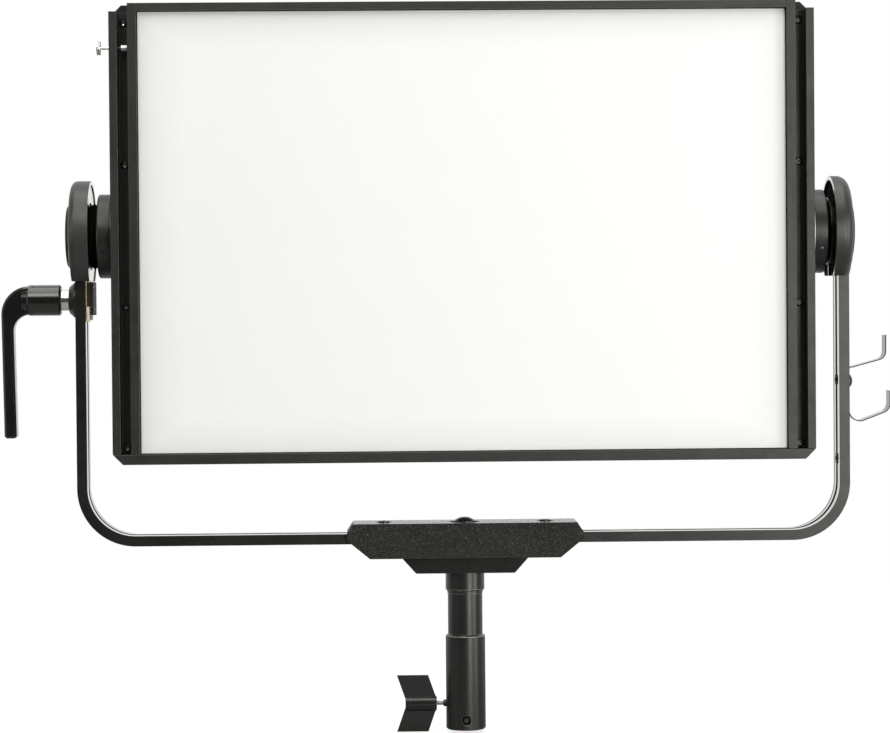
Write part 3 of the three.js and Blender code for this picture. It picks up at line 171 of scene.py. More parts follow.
def inset(outline, distance):
    """The outline moved inwards by an even distance."""
    points = [Vector(p) for p in outline]
    area = sum(a.x * b.y - b.x * a.y for a, b in zip(points, points[1:] + points[:1]))
    turn = 1 if area > 0 else -1
    moved = []
    for before, here, after in zip(points[-1:] + points[:-1], points, points[1:] + points[:1]):
        first = (here - before).normalized()
        second = (after - here).normalized()
        inward = Vector((-first.y - second.y, first.x + second.x)).normalized() * turn
        lean = max(0.5, inward.dot(Vector((-second.y, second.x)) * turn))
        moved.append(tuple(here + inward * distance / lean))
    return moved


def chamfered_prism(outline, low, high, chamfer):
    """Extrudes an (x, z) outline along Y, with a flat chamfer round both ends."""
    small = inset(outline, chamfer)
    stations = ((small, low), (outline, low + chamfer), (outline, high - chamfer), (small, high))
    return loft([[in_metres(x, y, z) for x, z in shape] for shape, y in stations])


def block(x, y, z):
    return prism([(x[0], z[0]), (x[1], z[0]), (x[1], z[1]), (x[0], z[1])], y[0], y[1])


def polygon(sides, radius, centre, turn=0):
    return arc(*centre, radius, turn, turn + 360, sides)[:-1]


def temporary(bm):
    mesh = bpy.data.meshes.new("temporary")
    bm.to_mesh(mesh)
    bm.free()
    made = bpy.data.objects.new("temporary", mesh)
    bpy.context.scene.collection.objects.link(made)
    return made


def combine(first, second, operation):
    """The union or the difference of two closed bmeshes, as a new one."""
    whole, other = temporary(first), temporary(second)
    modifier = whole.modifiers.new("Combine", "BOOLEAN")
    modifier.operation = operation
    modifier.solver = "MANIFOLD" if operation == "UNION" else "EXACT"
    modifier.object = other
    evaluated = whole.evaluated_get(bpy.context.evaluated_depsgraph_get())
    bm = bmesh.new()
    bm.from_mesh(evaluated.to_mesh())
    evaluated.to_mesh_clear()
    for used in (whole, other):
        mesh = used.data
        bpy.data.objects.remove(used)
        bpy.data.meshes.remove(mesh)
    if not bm.faces:
        raise ValueError("a boolean left nothing")
    bmesh.ops.dissolve_limit(bm, angle_limit=math.radians(0.5), verts=bm.verts, edges=bm.edges)
    return bm


def cut(bm, *cutters):
    for cutter in cutters:
        bm = combine(bm, cutter, "DIFFERENCE")
    return bm


def join(bm, *others):
    for other in others:
        bm = combine(bm, other, "UNION")
    return bm


def together(*parts):
    """Separate closed shells in one bmesh."""
    whole = bmesh.new()
    for part in parts:
        mesh = bpy.data.meshes.new("part")
        part.to_mesh(mesh)
        part.free()
        whole.from_mesh(mesh)
        bpy.data.meshes.remove(mesh)
    return whole


# ---------------------------------------------------------------- materials

WORN_PAINT = (0.10, 0.10, 0.10)


def fill(tree, sockets, values):
    """Links each named socket to a node's output, or sets it to a plain value."""
    for name, value in values.items():
        if isinstance(value, bpy.types.NodeSocket):
            tree.links.new(value, sockets[name])
        else:
            sockets[name].default_value = value


def new_node(tree, kind, values=None, **settings):
    made = tree.nodes.new(kind)
    for name, value in settings.items():
        setattr(made, name, value)
    fill(tree, made.inputs, values or {})
    return made


def new_material(name):
    material = bpy.data.materials.new(name)
    material.use_nodes = True
    return material


def shader_inputs(material):
    return material.node_tree.nodes["Principled BSDF"].inputs


def stretched(tree, stretch=(1, 1, 1)):
    """Coordinates that ride with the piece, scaled along each axis."""
    place = new_node(tree, "ShaderNodeTexCoord").outputs["Object"]
    return new_node(tree, "ShaderNodeMapping", {"Vector": place, "Scale": stretch}).outputs[0]


def axes_of(tree, vector):
    return new_node(tree, "ShaderNodeSeparateXYZ", {"Vector": vector}).outputs


def place_mm(tree):
    """The place along each axis, in millimetres."""
    return axes_of(tree, stretched(tree, (1 / MM, 1 / MM, 1 / MM)))


def noise(tree, where, scale, detail, roughness=0.55, distortion=0.0):
    values = {"Vector": where, "Scale": scale, "Detail": detail}
    values |= {"Roughness": roughness, "Distortion": distortion}
    return new_node(tree, "ShaderNodeTexNoise", values).outputs["Fac"]


def cells(tree, where, scale):
    return new_node(tree, "ShaderNodeTexVoronoi", {"Vector": where, "Scale": scale}).outputs["Distance"]


def remap(tree, value, low, high, to_low=0, to_high=1):
    values = {"Value": value, "From Min": low, "From Max": high, "To Min": to_low, "To Max": to_high}
    return new_node(tree, "ShaderNodeMapRange", values).outputs[0]


def maths(tree, operation, first, second):
    return new_node(tree, "ShaderNodeMath", {0: first, 1: second}, operation=operation).outputs[0]


def times(tree, first, second):
    return maths(tree, "MULTIPLY", first, second)


def minus(tree, first, second):
    return maths(tree, "SUBTRACT", first, second)


def absolute(tree, value):
    return maths(tree, "ABSOLUTE", value, 0)


def mix_colours(tree, factor, first, second):
    first, second = (c if isinstance(c, bpy.types.NodeSocket) else (*c, 1) for c in (first, second))
    return new_node(tree, "ShaderNodeMix", {0: factor, 6: first, 7: second}, data_type="RGBA").outputs[2]


def bumped(tree, height, strength, distance):
    values = {"Height": height, "Strength": strength, "Distance": distance}
    return new_node(tree, "ShaderNodeBump", values).outputs[0]


def true_normal(tree):
    return axes_of(tree, new_node(tree, "ShaderNodeNewGeometry").outputs["True Normal"])


def facing(tree, axis, low, high):
    """1 where a face looks along an axis, either way, and 0 where it doesn't."""
    return remap(tree, absolute(tree, true_normal(tree)[axis]), low, high)


def smoother_faces(material, mask, factor):
    """Scales the roughness down where the mask is 1."""
    tree = material.node_tree
    socket = shader_inputs(material)["Roughness"]
    tree.links.new(times(tree, socket.links[0].from_socket, remap(tree, mask, 0, 1, 1, factor)), socket)


def tinted(material, mask, colour):
    """Changes the colour to another one where the mask is 1."""
    tree = material.node_tree
    socket = shader_inputs(material)["Base Color"]
    tree.links.new(mix_colours(tree, mask, socket.links[0].from_socket, colour), socket)


def edge_mask(tree, radius):
    """1 along sharp edges and 0 on flats: how far a rounded normal leans from the true one."""
    rounded = new_node(tree, "ShaderNodeBevel", {"Radius": radius}, samples=4).outputs[0]
    true = new_node(tree, "ShaderNodeNewGeometry").outputs["Normal"]
    dot = new_node(tree, "ShaderNodeVectorMath", {0: rounded, 1: true}, operation="DOT_PRODUCT")
    return remap(tree, dot.outputs["Value"], 0.80, 0.985, 1, 0)


def finish(name, colour, roughness, metallic=0.0, *, grain, stretch=(1, 1, 1), spread=0.08,
           mottle=0.25, wear=None, wear_radius=0.5, ior=1.5):
    """A painted, plated or moulded surface: grain, cloudy colour, uneven gloss and worn edges."""
    material = new_material(name)
    tree = material.node_tree
    cloud = noise(tree, stretched(tree), 14, 5)
    fine = noise(tree, stretched(tree, stretch), grain[0], 3)
    darker = tuple(c * (1 - mottle) for c in colour)
    lighter = tuple(c * (1 + mottle) for c in colour)
    tint = mix_colours(tree, remap(tree, cloud, 0.3, 0.7), darker, lighter)
    smudges = noise(tree, stretched(tree), 45, 6, 0.65, 0.4)
    gloss = remap(tree, smudges, 0.3, 0.7, roughness - spread, roughness + spread)
    gloss = maths(tree, "ADD", gloss, remap(tree, fine, 0.3, 0.7, -spread / 3, spread / 3))
    if wear:
        patchy = noise(tree, stretched(tree), 160, 4, 0.7)
        worn = times(tree, edge_mask(tree, wear_radius * MM), remap(tree, patchy, 0.42, 0.62, 0.15, 1))
        tint = mix_colours(tree, worn, tint, wear)
    fill(tree, shader_inputs(material), {
        "Base Color": tint,
        "Roughness": gloss,
        "Normal": bumped(tree, fine, grain[1], 0.25 * MM),
        "Metallic": metallic,
        "IOR": ior,
    })
    return material


def wrinkle_paint():
    """Thick black paint that dried into fine wrinkles on the front and back, and nearly smooth on top."""
    material = finish("wrinkle_paint", (0.024, 0.024, 0.0226), 0.42, grain=(1400, 0.2), wear=WORN_PAINT)
    tree = material.node_tree
    where = stretched(tree)
    warp = noise(tree, where, 420, 3, 0.6, 1.8)
    ridges = remap(tree, absolute(tree, minus(tree, warp, 0.5)), 0, 0.10, 1, 0)
    height = maths(tree, "ADD", ridges, times(tree, cells(tree, where, 600), 0.6))
    level = facing(tree, "Z", 0.6, 0.9)
    height = times(tree, height, remap(tree, level, 0, 1, 1, 0.12))
    fill(tree, shader_inputs(material), {"Normal": bumped(tree, height, 1.0, 0.8 * MM)})
    smoother_faces(material, level, 0.35)
    return material


def inward(tree):
    """1 on faces that look towards the middle of the yoke, and 0 on the rest."""
    normal = true_normal(tree)
    place = place_mm(tree)
    sideways = times(tree, normal["X"], place["X"])
    upward = times(tree, normal["Z"], minus(tree, PIVOT, place["Z"]))
    return remap(tree, minus(tree, upward, sideways), 0, 20)


def strap_paint():
    """The yoke's bar: satin, with a painted reflection on the lips along its inner face, which are tinted
    pale, made metallic and nearly polished, and painted shade, almost no specular, on the rest of that face.
    """
    front_edge, step = (-21.0, -20.4), (12.0, 12.4)
    material = finish("strap_paint", (0.007, 0.007, 0.0066), 0.34, grain=(1100, 0.12), spread=0.05,
                      wear=(0.12, 0.12, 0.118))
    tree = material.node_tree
    depth = place_mm(tree)["Y"]
    lips = times(tree, remap(tree, depth, *front_edge), remap(tree, depth, *step, 1, 0))
    beside = times(tree, remap(tree, facing(tree, "Y", 0.1, 0.5), 0, 1, 1, 0), inward(tree))
    # Painted reflection: the middle band of the inner face is tinted pale, made metallic and smoother, for
    # the bright reflection it shows.
    painted_reflection = times(tree, lips, beside)
    smoother_faces(material, painted_reflection, 0.3)
    tinted(material, painted_reflection, (0.50, 0.50, 0.49))
    # Painted shade: the rest of the inner face gets almost no specular, so it looks dark.
    dull = times(tree, beside, minus(tree, 1, lips))
    fill(tree, shader_inputs(material), {
        "Metallic": remap(tree, painted_reflection, 0, 1, 0, 0.75),
        "Specular IOR Level": remap(tree, dull, 0, 1, 0.5, 0.05),
    })
    return material


def end_paint():
    """The yoke's round ends: satin, with a painted reflection on the ring that faces the head, which is
    tinted pale, made metallic and smoother.
    """
    ring_face = (366.0, 366.6)
    material = finish("end_paint", (0.026, 0.026, 0.0245), 0.42, grain=(1100, 0.12), wear=WORN_PAINT)
    tree = material.node_tree
    near_head = remap(tree, absolute(tree, place_mm(tree)["X"]), *ring_face, 1, 0)
    # Painted reflection: the ring round the recess, on the inner face, is tinted pale and made metallic for
    # the bright reflection it shows.
    painted_reflection = times(tree, facing(tree, "X", 0.85, 0.97), near_head)
    smoother_faces(material, painted_reflection, 0.3)
    tinted(material, painted_reflection, (0.75, 0.74, 0.71))
    fill(tree, shader_inputs(material), {"Metallic": remap(tree, painted_reflection, 0, 1, 0, 0.8)})
    return material


def turned_metal(name, colour, roughness, stretch):
    """Bright metal with the fine rings that a lathe leaves along one axis."""
    return finish(name, colour, roughness, 1.0, grain=(500, 0.06), stretch=stretch, mottle=0.06, spread=0.05)


def opal_sheet():
    """The diffuser: a matt opal sheet, with painted shade that makes it a little darker towards its edges,
    where it passes in front of the walls of the tray.
    """
    material = new_material("diffuser_white")
    tree = material.node_tree
    where = stretched(tree)
    place = axes_of(tree, where)
    low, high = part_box("diffuser")
    middle = (low + high) / 2
    half = (high - low) / 2
    from_side = maths(tree, "DIVIDE", absolute(tree, place["X"]), half.x)
    from_level = maths(tree, "DIVIDE", absolute(tree, minus(tree, place["Z"], middle.z)), half.z)
    # Painted shade: the sheet is darker over the outer part of its width and height.
    rim = maths(tree, "MAXIMUM", remap(tree, from_side, 0.86, 1.0), remap(tree, from_level, 0.84, 1.0))
    edge_shade_and_cloud = maths(tree, "ADD", rim, remap(tree, noise(tree, where, 3.2, 2), 0.3, 0.7, -0.12, 0.12))
    fill(tree, shader_inputs(material), {
        "Base Color": mix_colours(tree, edge_shade_and_cloud, (0.825, 0.825, 0.855), (0.745, 0.745, 0.77)),
        "Roughness": remap(tree, noise(tree, where, 30, 4), 0.3, 0.7, 0.5, 0.62),
        "Normal": bumped(tree, noise(tree, where, 2200, 2), 0.05, 0.1 * MM),
        "Subsurface Weight": 0.15,
        "Subsurface Radius": (0.004, 0.004, 0.003),
    })
    return material


def rail_finish(name, stretch, painted_light_tone=1.0):
    """Black anodised extrusion: drawn along its length, with painted shade that makes it darker down in the
    channel.
    """
    # Painted light: tone scales the colours, for lighter and darker copies of this finish.
    colour = tuple(painted_light_tone * c for c in (0.013, 0.013, 0.0122))
    streak = tuple(painted_light_tone * c for c in (0.032, 0.032, 0.0305))
    material = finish(name, colour, 0.46, grain=(900, 0.2), stretch=stretch, wear=(0.34, 0.34, 0.33),
                      wear_radius=0.6)
    channel_wall, channel_mouth, lip_top = (9.5, 10.5), (-41.5, -40.0), (705.0, 705.6)
    tree = material.node_tree
    streaks = noise(tree, stretched(tree, stretch), 650, 2)
    tinted(material, remap(tree, streaks, 0.35, 0.65, 0, 0.45), streak)
    place = place_mm(tree)
    # Painted shade: the channel between the lips is tinted near black below the top lip.
    across = absolute(tree, minus(tree, absolute(tree, place["X"]), CHANNEL_X))
    inside = times(tree, remap(tree, across, *channel_wall, 1, 0), remap(tree, place["Y"], *channel_mouth))
    inside = times(tree, inside, remap(tree, place["Z"], *lip_top, 1, 0))
    tinted(material, inside, (0.012, 0.012, 0.012))
    return material


def circuit_board():
    """Solder mask with copper runs under it."""
    material = finish("board", (0.02, 0.10, 0.04), 0.38, grain=(1200, 0.05))
    tree = material.node_tree
    runs = new_node(tree, "ShaderNodeTexBrick", {
        "Vector": stretched(tree),
        "Color1": (0.015, 0.085, 0.035, 1),
        "Color2": (0.03, 0.14, 0.06, 1),
        "Mortar": (0.05, 0.2, 0.09, 1),
        "Scale": 60,
        "Mortar Size": 0.03,
    })
    fill(tree, shader_inputs(material), {"Base Color": runs.outputs["Color"]})
    return material


def gloss_paint():
    """Black paint under a clear coat, for the lever, the wing and other smooth pieces."""
    material = finish("gloss_paint", (0.007, 0.007, 0.0068), 0.24, grain=(1100, 0.08), spread=0.04,
                      wear=WORN_PAINT)
    fill(material.node_tree, shader_inputs(material), {"Coat Weight": 0.5, "Coat Roughness": 0.12})
    return material


def hook_paint():
    """Black paint that lies smooth on the broad faces of the hooks and dull on their cut edges."""
    material = finish("hook_paint", (0.004, 0.004, 0.0038), 0.5, grain=(1100, 0.02), spread=0.04)
    tree = material.node_tree
    smoother_faces(material, remap(tree, facing(tree, "Y", 0.1, 0.5), 0, 1, 1, 0), 0.15)
    return material


def smoked_glass():
    material = finish("display_glass", (0.008, 0.009, 0.011), 0.09, grain=(300, 0.01), spread=0.03,
                      mottle=0.1)
    fill(material.node_tree, shader_inputs(material), {"Coat Weight": 0.6})
    return material


MATERIALS = {
    "gloss_paint": gloss_paint(),
    "hook_paint": hook_paint(),
    "black_paint": finish("black_paint", (0.014, 0.014, 0.0132), 0.38, grain=(1100, 0.12), wear=WORN_PAINT),
    "powder_coat": finish("powder_coat", (0.014, 0.014, 0.0132), 0.6, grain=(1500, 0.35), spread=0.06,
                          wear=(0.08, 0.08, 0.08), ior=1.38),
    "strap_paint": strap_paint(),
    "end_paint": end_paint(),
    # Painted light and shade: the left side rail and the bottom rail take darker copies of the rail finish,
    # and the top rail a lighter one.
    "rail_anodised": rail_finish("rail_anodised", (1, 1, 0.02)),
    "shaded_side_rail": rail_finish("shaded_side_rail", (1, 1, 0.02), 0.75),
    "lit_horizontal_rail": rail_finish("lit_horizontal_rail", (0.02, 1, 1), 1.15),
    "shaded_horizontal_rail": rail_finish("shaded_horizontal_rail", (0.02, 1, 1), 0.65),
    "wrinkle_paint": wrinkle_paint(),
    "spigot_anodised": finish("spigot_anodised", (0.009, 0.009, 0.0086), 0.31, grain=(700, 0.03), spread=0.04,
                              stretch=(0.05, 0.05, 1), wear=(0.45, 0.45, 0.44), wear_radius=0.7),
    "black_plastic": finish("black_plastic", (0.014, 0.014, 0.0145), 0.5, grain=(1600, 0.25), spread=0.1),
    "friction_lining": finish("friction_lining", (0.004, 0.004, 0.004), 0.85, grain=(1300, 0.3), ior=1.12),
    "black_steel": finish("black_steel", (0.05, 0.05, 0.052), 0.3, 0.8, grain=(800, 0.08),
                          wear=(0.3, 0.3, 0.3)),
    "bright_steel": turned_metal("bright_steel", (0.78, 0.775, 0.75), 0.2, (1, 0.1, 0.1)),
    "chrome": turned_metal("chrome", (0.80, 0.79, 0.76), 0.1, (1, 0.1, 0.1)),
    "pad_brass": turned_metal("pad_brass", (0.62, 0.46, 0.18), 0.3, (1, 1, 0.1)),
    "pad_ivory": finish("pad_ivory", (0.92, 0.88, 0.78), 0.4, grain=(900, 0.1), mottle=0.06),
    "dimmed_steel": finish("dimmed_steel", (0.30, 0.30, 0.29), 0.45, 0.5, grain=(900, 0.1), mottle=0.3),
    "dull_steel": finish("dull_steel", (0.70, 0.70, 0.68), 0.5, 0.5, grain=(900, 0.1), mottle=0.06),
    "raw_aluminium": turned_metal("raw_aluminium", (0.62, 0.63, 0.64), 0.36, (1, 1, 0.03)),
    "diffuser_white": opal_sheet(),
    "board": circuit_board(),
    "display_glass": smoked_glass(),
}

# ---------------------------------------------------------------- pieces


def soften(piece, width, segments=3):
    """Rounded edges, and smooth shading that breaks at the sharp ones."""
    bevel = piece.modifiers.new("Edges", "BEVEL")
    bevel.width = width * MM
    bevel.segments = segments
    bevel.limit_method = "ANGLE"
    bevel.angle_limit = SHARP
    bevel.harden_normals = True
    piece.modifiers.new("Normals", "WEIGHTED_NORMAL").keep_sharp = True


def add_piece(name, bm, slot, body, edge, replaces=(), material=None):
    """A bmesh becomes a piece of the object, with its edges rounded, on its body."""
    mesh = bpy.data.meshes.new(name)
    bmesh.ops.recalc_face_normals(bm, faces=bm.faces)
    for face in bm.faces:
        face.smooth = True
    bm.to_mesh(mesh)
    bm.free()
    mesh.set_sharp_from_angle(angle=SHARP)
    mesh.materials.append(MATERIALS[material or slot])
    piece = bpy.data.objects.new(name, mesh)
    bpy.context.scene.collection.objects.link(piece)
    if edge:
        soften(piece, edge)
    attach(piece, body)
    if replaces:
        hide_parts(*replaces)


def smooth_by_angle():
    """A node group that shades faces smooth and keeps sharp edges sharp."""
    group = bpy.data.node_groups.new("smooth_by_angle", "GeometryNodeTree")
    group.interface.new_socket("Geometry", in_out="INPUT", socket_type="NodeSocketGeometry")
    group.interface.new_socket("Geometry", in_out="OUTPUT", socket_type="NodeSocketGeometry")
    start = group.nodes.new("NodeGroupInput")
    end = group.nodes.new("NodeGroupOutput")
    faces = group.nodes.new("GeometryNodeSetShadeSmooth")
    edges = group.nodes.new("GeometryNodeSetShadeSmooth")
    edges.domain = "EDGE"
    edges.inputs["Shade Smooth"].default_value = False
    angle = group.nodes.new("GeometryNodeInputMeshEdgeAngle")
    sharp = group.nodes.new("FunctionNodeCompare")
    sharp.operation = "GREATER_THAN"
    sharp.inputs[1].default_value = SHARP
    group.links.new(angle.outputs["Unsigned Angle"], sharp.inputs[0])
    group.links.new(sharp.outputs[0], edges.inputs["Selection"])
    group.links.new(start.outputs[0], faces.inputs["Geometry"])
    group.links.new(faces.outputs[0], edges.inputs["Geometry"])
    group.links.new(edges.outputs[0], end.inputs[0])
    return group


SMOOTH = smooth_by_angle()


def dress(node_name, slot, edge, material=None):
    """A CAD node keeps its shape and gets rounded edges and a finish."""
    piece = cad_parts[node_name]
    piece.data.materials.clear()
    piece.data.materials.append(MATERIALS[material or slot])
    weld = piece.modifiers.new("Weld", "WELD")
    weld.merge_threshold = 0.002 * MM
    flats = piece.modifiers.new("Flats", "DECIMATE")
    flats.decimate_type = "DISSOLVE"
    flats.angle_limit = math.radians(0.4)
    smooth = piece.modifiers.new("Smooth", "NODES")
    smooth.node_group = SMOOTH
    soften(piece, edge, 2)


def hex_hole(radius, low, high, axis, centre):
    """A six-sided key socket, to be cut from a screw head."""
    return lathe(rod(radius, low, high), axis, centre, 6)


# ---------------------------------------------------------------- head

# The rails' third entries are lighter and darker copies of one finish: painted light and shade.
HEAD_DRESS = {
    "side_rail_left": ("rail_anodised", 0.5, "shaded_side_rail"),
    "side_rail_right": ("rail_anodised", 0.5, None),
    "top_rail": ("rail_anodised", 0.5, "lit_horizontal_rail"),
    "bottom_rail": ("rail_anodised", 0.5, "shaded_horizontal_rail"),
    "housing": ("black_paint", 0.5, "powder_coat"),
    "rear_cover": ("black_paint", 0.5, "powder_coat"),
    "diffuser": ("diffuser_white", 0.2, None),
    "reflector_tray": ("diffuser_white", 0.1, None),
    "led_board": ("board", 0.1, None),
    "heat_sink": ("raw_aluminium", 0.1, None),
    "driver_board": ("board", 0.2, None),
    "fan_frame_left": ("black_plastic", 0.4, None),
    "fan_frame_right": ("black_plastic", 0.4, None),
    "fan_rotor_left": ("black_plastic", 0.2, None),
    "fan_rotor_right": ("black_plastic", 0.2, None),
    "control_panel": ("spigot_anodised", 0.2, None),
    "display_window": ("display_glass", 0.15, None),
    "power_switch": ("black_plastic", 0.5, None),
}
for node_name, (slot_name, edge_width, other_material) in HEAD_DRESS.items():
    dress(node_name, slot_name, edge_width, other_material)


def channel_screw(word, side, index):
    centre = (side * CHANNEL_X, 0, PIVOT + CHANNEL_SCREWS[index - 1])
    front = CHANNEL_FLOOR + GAP
    head = lathe([
        (0, front),
        (2.6, front),
        *arc(2.6, front + 1.1, 1.1, -90, 0, 5),
        (3.7, front + 2.5),
        (2.0, front + 2.5),
        (2.0, front + 12.7),
        (0, front + 12.7),
    ], "y", centre, SMALL_ROUND)
    head = cut(head, hex_hole(1.9, front - 1, front + 1.6, "y", centre))
    name = f"channel_screw_{word}_{index}"
    add_piece(f"{name}_head", head, "black_steel", "head", 0.15, [name])
    cup = lathe([
        (0, front + 1.55),
        (1.5, front + 0.3),
        (1.75, front + 0.3),
        (1.75, front + 1.58),
        (0, front + 1.58),
    ], "y", centre, 24)
    # Painted highlight: the top screw on the left gets a bright steel socket for its glint, and the others a
    # dimmer steel.
    plating = "bright_steel" if index == TOP_SCREW and side < 0 else "dimmed_steel"
    add_piece(f"{name}_socket", cup, "bright_steel", "head", 0, (), plating)


for word, side in SIDES:
    for index in range(1, len(CHANNEL_SCREWS) + 1):
        channel_screw(word, side, index)


def latch():
    """A sprung pin through the outer lip of the left channel, with a turned knob."""
    tip, neck, wall, knob = 324.9, 330.9, 341.8, 350.9
    centre = (0, -41, PIVOT + 181.5)
    nose = lathe([
        (0, tip),
        (2.3, tip),
        *arc(2.3, tip + 0.8, 0.8, -90, 0, 4),
        (3.1, neck),
        (0, neck),
    ], "-x", centre, SMALL_ROUND)
    add_piece("latch_pin", nose, "raw_aluminium", "latch", 0.15, ["latch_plunger"])
    stem = lathe(rod(1.5, neck, wall), "-x", centre, SMALL_ROUND)
    add_piece("latch_stem", stem, "black_steel", "latch", 0.1)
    grip = lathe([
        (0, wall),
        (1.5, wall),
        (1.5, knob),
        (6.4, knob),
        *arc(6.2, knob + 0.8, 0.8, -60, 0, 3),
        (6.6, knob + 1.6),
        (7.0, knob + 2.0),
        *arc(6.2, knob + 3.0, 0.8, 0, 90, 4),
        (0, knob + 3.8),
    ], "-x", centre, SMALL_ROUND)
    add_piece("latch_knob", grip, "bright_steel", "latch", 0.12, (), "chrome")


latch()

# ---------------------------------------------------------------- pivots

END_RADIUS = 54.6
END_FLAT = -44.0
END_RECESS = 367.4  # floor of the round recess in the inner face of each end
END_SIZES = {  # inner face, outer face and crown of the cap
    "left": (364.8, 384.0, 388.8),
    "right": (363.4, 381.4, 385.2),
}
END_ROUNDING = {"left": 6.5, "right": 11.0}
RECESS_RADIUS = 50.8
COLLAR_RADIUS = 33.0
BOLT_BORE = 7.25
BOSS_RADIUS = 41.3
BOSS_FACE = 357.6
BOSS_SCREW = (351.5, PIVOT - 17)  # distance from the middle, and height
WELL_BELOW = PIVOT - 80  # lower than the whole of a round end
END_DEPTH = (-70, 70)  # deeper than the whole of a round end


def below_flat(side, inner, outer):
    """A block below the flat edge of the yoke's round end."""
    x = sorted((side * (inner - 5), side * (outer + 5)))
    return block(x, END_DEPTH, (WELL_BELOW, PIVOT + END_FLAT))


def turned_pivot(profile, side, segments=ROUND):
    """A profile turned round the tilt axis, with its distances measured outwards on one side."""
    return lathe(profile, "x" if side > 0 else "-x", (0, 0, PIVOT), segments)


def pivot_washer(word, side):
    ring = turned_pivot(tube(8, BOSS_RADIUS, 342.8, 344.6), side)
    plating = "dull_steel" if side > 0 else "black_steel"
    add_piece(f"pivot_washer_{word}", ring, "bright_steel", "head", 0.35, [f"pivot_ring_{word}"], plating)


def pivot_hub(word, side):
    """The boss on the side of the head, with a set screw in its front."""
    boss = turned_pivot([
        (0, 344.9),
        (BOSS_RADIUS, 344.9),
        *arc(BOSS_RADIUS - 1.8, BOSS_FACE - 1.8, 1.8, 0, 90, 6),
        (7.3, BOSS_FACE),
        (7.3, 350),
        (0, 350),
    ], side)
    screw_place = (side * BOSS_SCREW[0], BOSS_SCREW[1])
    boss = cut(boss, prism(polygon(24, 1.9, screw_place), -50, -30))
    add_piece(f"pivot_hub_{word}", boss, "black_paint", "head", 0.3, [f"pivot_boss_{word}"])
    plug = prism(polygon(24, 1.7, screw_place), -37, -31)
    add_piece(f"pivot_set_screw_{word}", plug, "black_steel", "head", 0.2)


def pivot_pin(word, side):
    face, crown = END_SIZES[word][1:]
    bolt = turned_pivot([
        (0, 350.3),
        (7, 350.3),
        (7, face - 1),
        (12, face - 1),
        (12, crown - 1.8),
        (0, crown - 1.8),
    ], side, SMALL_ROUND)
    add_piece(f"pivot_pin_{word}", bolt, "black_steel", "head", 0.3, [f"pivot_bolt_{word}"])


def pivot_disc(word, side):
    """The friction disc, which has a ridge round its rim on the left."""
    ridge = [(31.8, 361.2), (32.4, 361.9), (31.8, 362.6)] if side < 0 else []
    disc = turned_pivot([
        (BOLT_BORE, BOSS_FACE + GAP),
        (29.2, BOSS_FACE + GAP),
        *ridge,
        (29.2, 367.2),
        (BOLT_BORE, 367.2),
        (BOLT_BORE, BOSS_FACE + GAP),
    ], side)
    replaced = [f"friction_disc_{word}"]
    add_piece(f"pivot_disc_{word}", disc, "black_plastic", "yoke", 0.2, replaced, "friction_lining")


def pivot_cover(word, side):
    """The domed cap over the end of the bolt."""
    face, crown = END_SIZES[word][1:]
    cap = turned_pivot([
        (15, face + 0.1),
        (31, face + 0.1),
        (31, face + 1.4),
        *arc(27.6, crown - 3.4, 3.4, 0, 70, 8),
        *((r, crown - 0.25 * (r / 27) ** 2) for r in (24, 16, 8)),
        (0, crown),
        (0, crown - 1.2),
        (15, crown - 1.2),
        (15, face + 0.1),
    ], side)
    add_piece(f"pivot_cover_{word}", cap, "black_paint", "yoke", 0.2, [f"pivot_cap_{word}"], "powder_coat")


def yoke_end(word, side):
    """A round end over the top of the bar, with a shallow round recess facing the head."""
    inner, outer = END_SIZES[word][:2]
    rounding = END_ROUNDING[word]
    round_end = turned_pivot([
        (BOLT_BORE, END_RECESS),
        (RECESS_RADIUS, END_RECESS),
        (RECESS_RADIUS, inner),
        (END_RADIUS, inner),
        *arc(END_RADIUS - rounding, outer - rounding, rounding, 0, 90, 10),
        (BOLT_BORE, outer),
        (BOLT_BORE, END_RECESS),
    ], side)
    lower_x = sorted((side * (outer - 1.2), side * (outer + 5)))
    pocket_x = sorted((side * (BAR_INNER - GAP), side * (BAR_OUTER + GAP)))
    depth = BAR_DEPTH / 2 + GAP
    made = cut(
        round_end,
        below_flat(side, inner, outer),
        block(lower_x, END_DEPTH, (WELL_BELOW, PIVOT - 31)),
        block(pocket_x, (-depth, depth), (WELL_BELOW, BAR_TOP + GAP)),
    )
    add_piece(f"yoke_head_{word}", made, "black_paint", "yoke", 0.45, [f"yoke_end_{word}"], "end_paint")


def recess_plate(name, side, layer, slot, material):
    """A thin plate in the recess of a round end, cut off level with the flat edge below."""
    plate = turned_pivot(tube(COLLAR_RADIUS + GAP, RECESS_RADIUS - GAP, *layer), side)
    plate = cut(plate, below_flat(side, *layer))
    add_piece(name, plate, slot, "yoke", 0.15, (), material)


def right_collar():
    """A glossy collar round the disc of the right pivot, and an upright key under it."""
    collar = turned_pivot([
        (29.5, 360.6),
        (COLLAR_RADIUS - 1.0, 360.6),
        (COLLAR_RADIUS, 361.6),
        (COLLAR_RADIUS, 365.4),
        (29.5, 365.4),
        (29.5, 360.6),
    ], 1)
    add_piece("pivot_collar", collar, "black_steel", "yoke", 0.2, (), "gloss_paint")
    key = block((364.4, 365.5), (9.5, 12.0), (PIVOT + END_FLAT + GAP, PIVOT - 34))
    add_piece("pivot_key", key, "bright_steel", "yoke", 0.2)


for word, side in SIDES:
    for make in (pivot_washer, pivot_hub, pivot_pin, pivot_disc, pivot_cover, yoke_end):
        make(word, side)
# Painted reflection: the left plate is bright steel for the pale reflection its face shows; the right one is
# black lining.
recess_plate("bearing_plate_left", -1, (365.9, 367.1), "bright_steel", "bright_steel")
recess_plate("bearing_plate_right", 1, (365.7, 367.1), "black_plastic", "friction_lining")
right_collar()

# ---------------------------------------------------------------- yoke bar


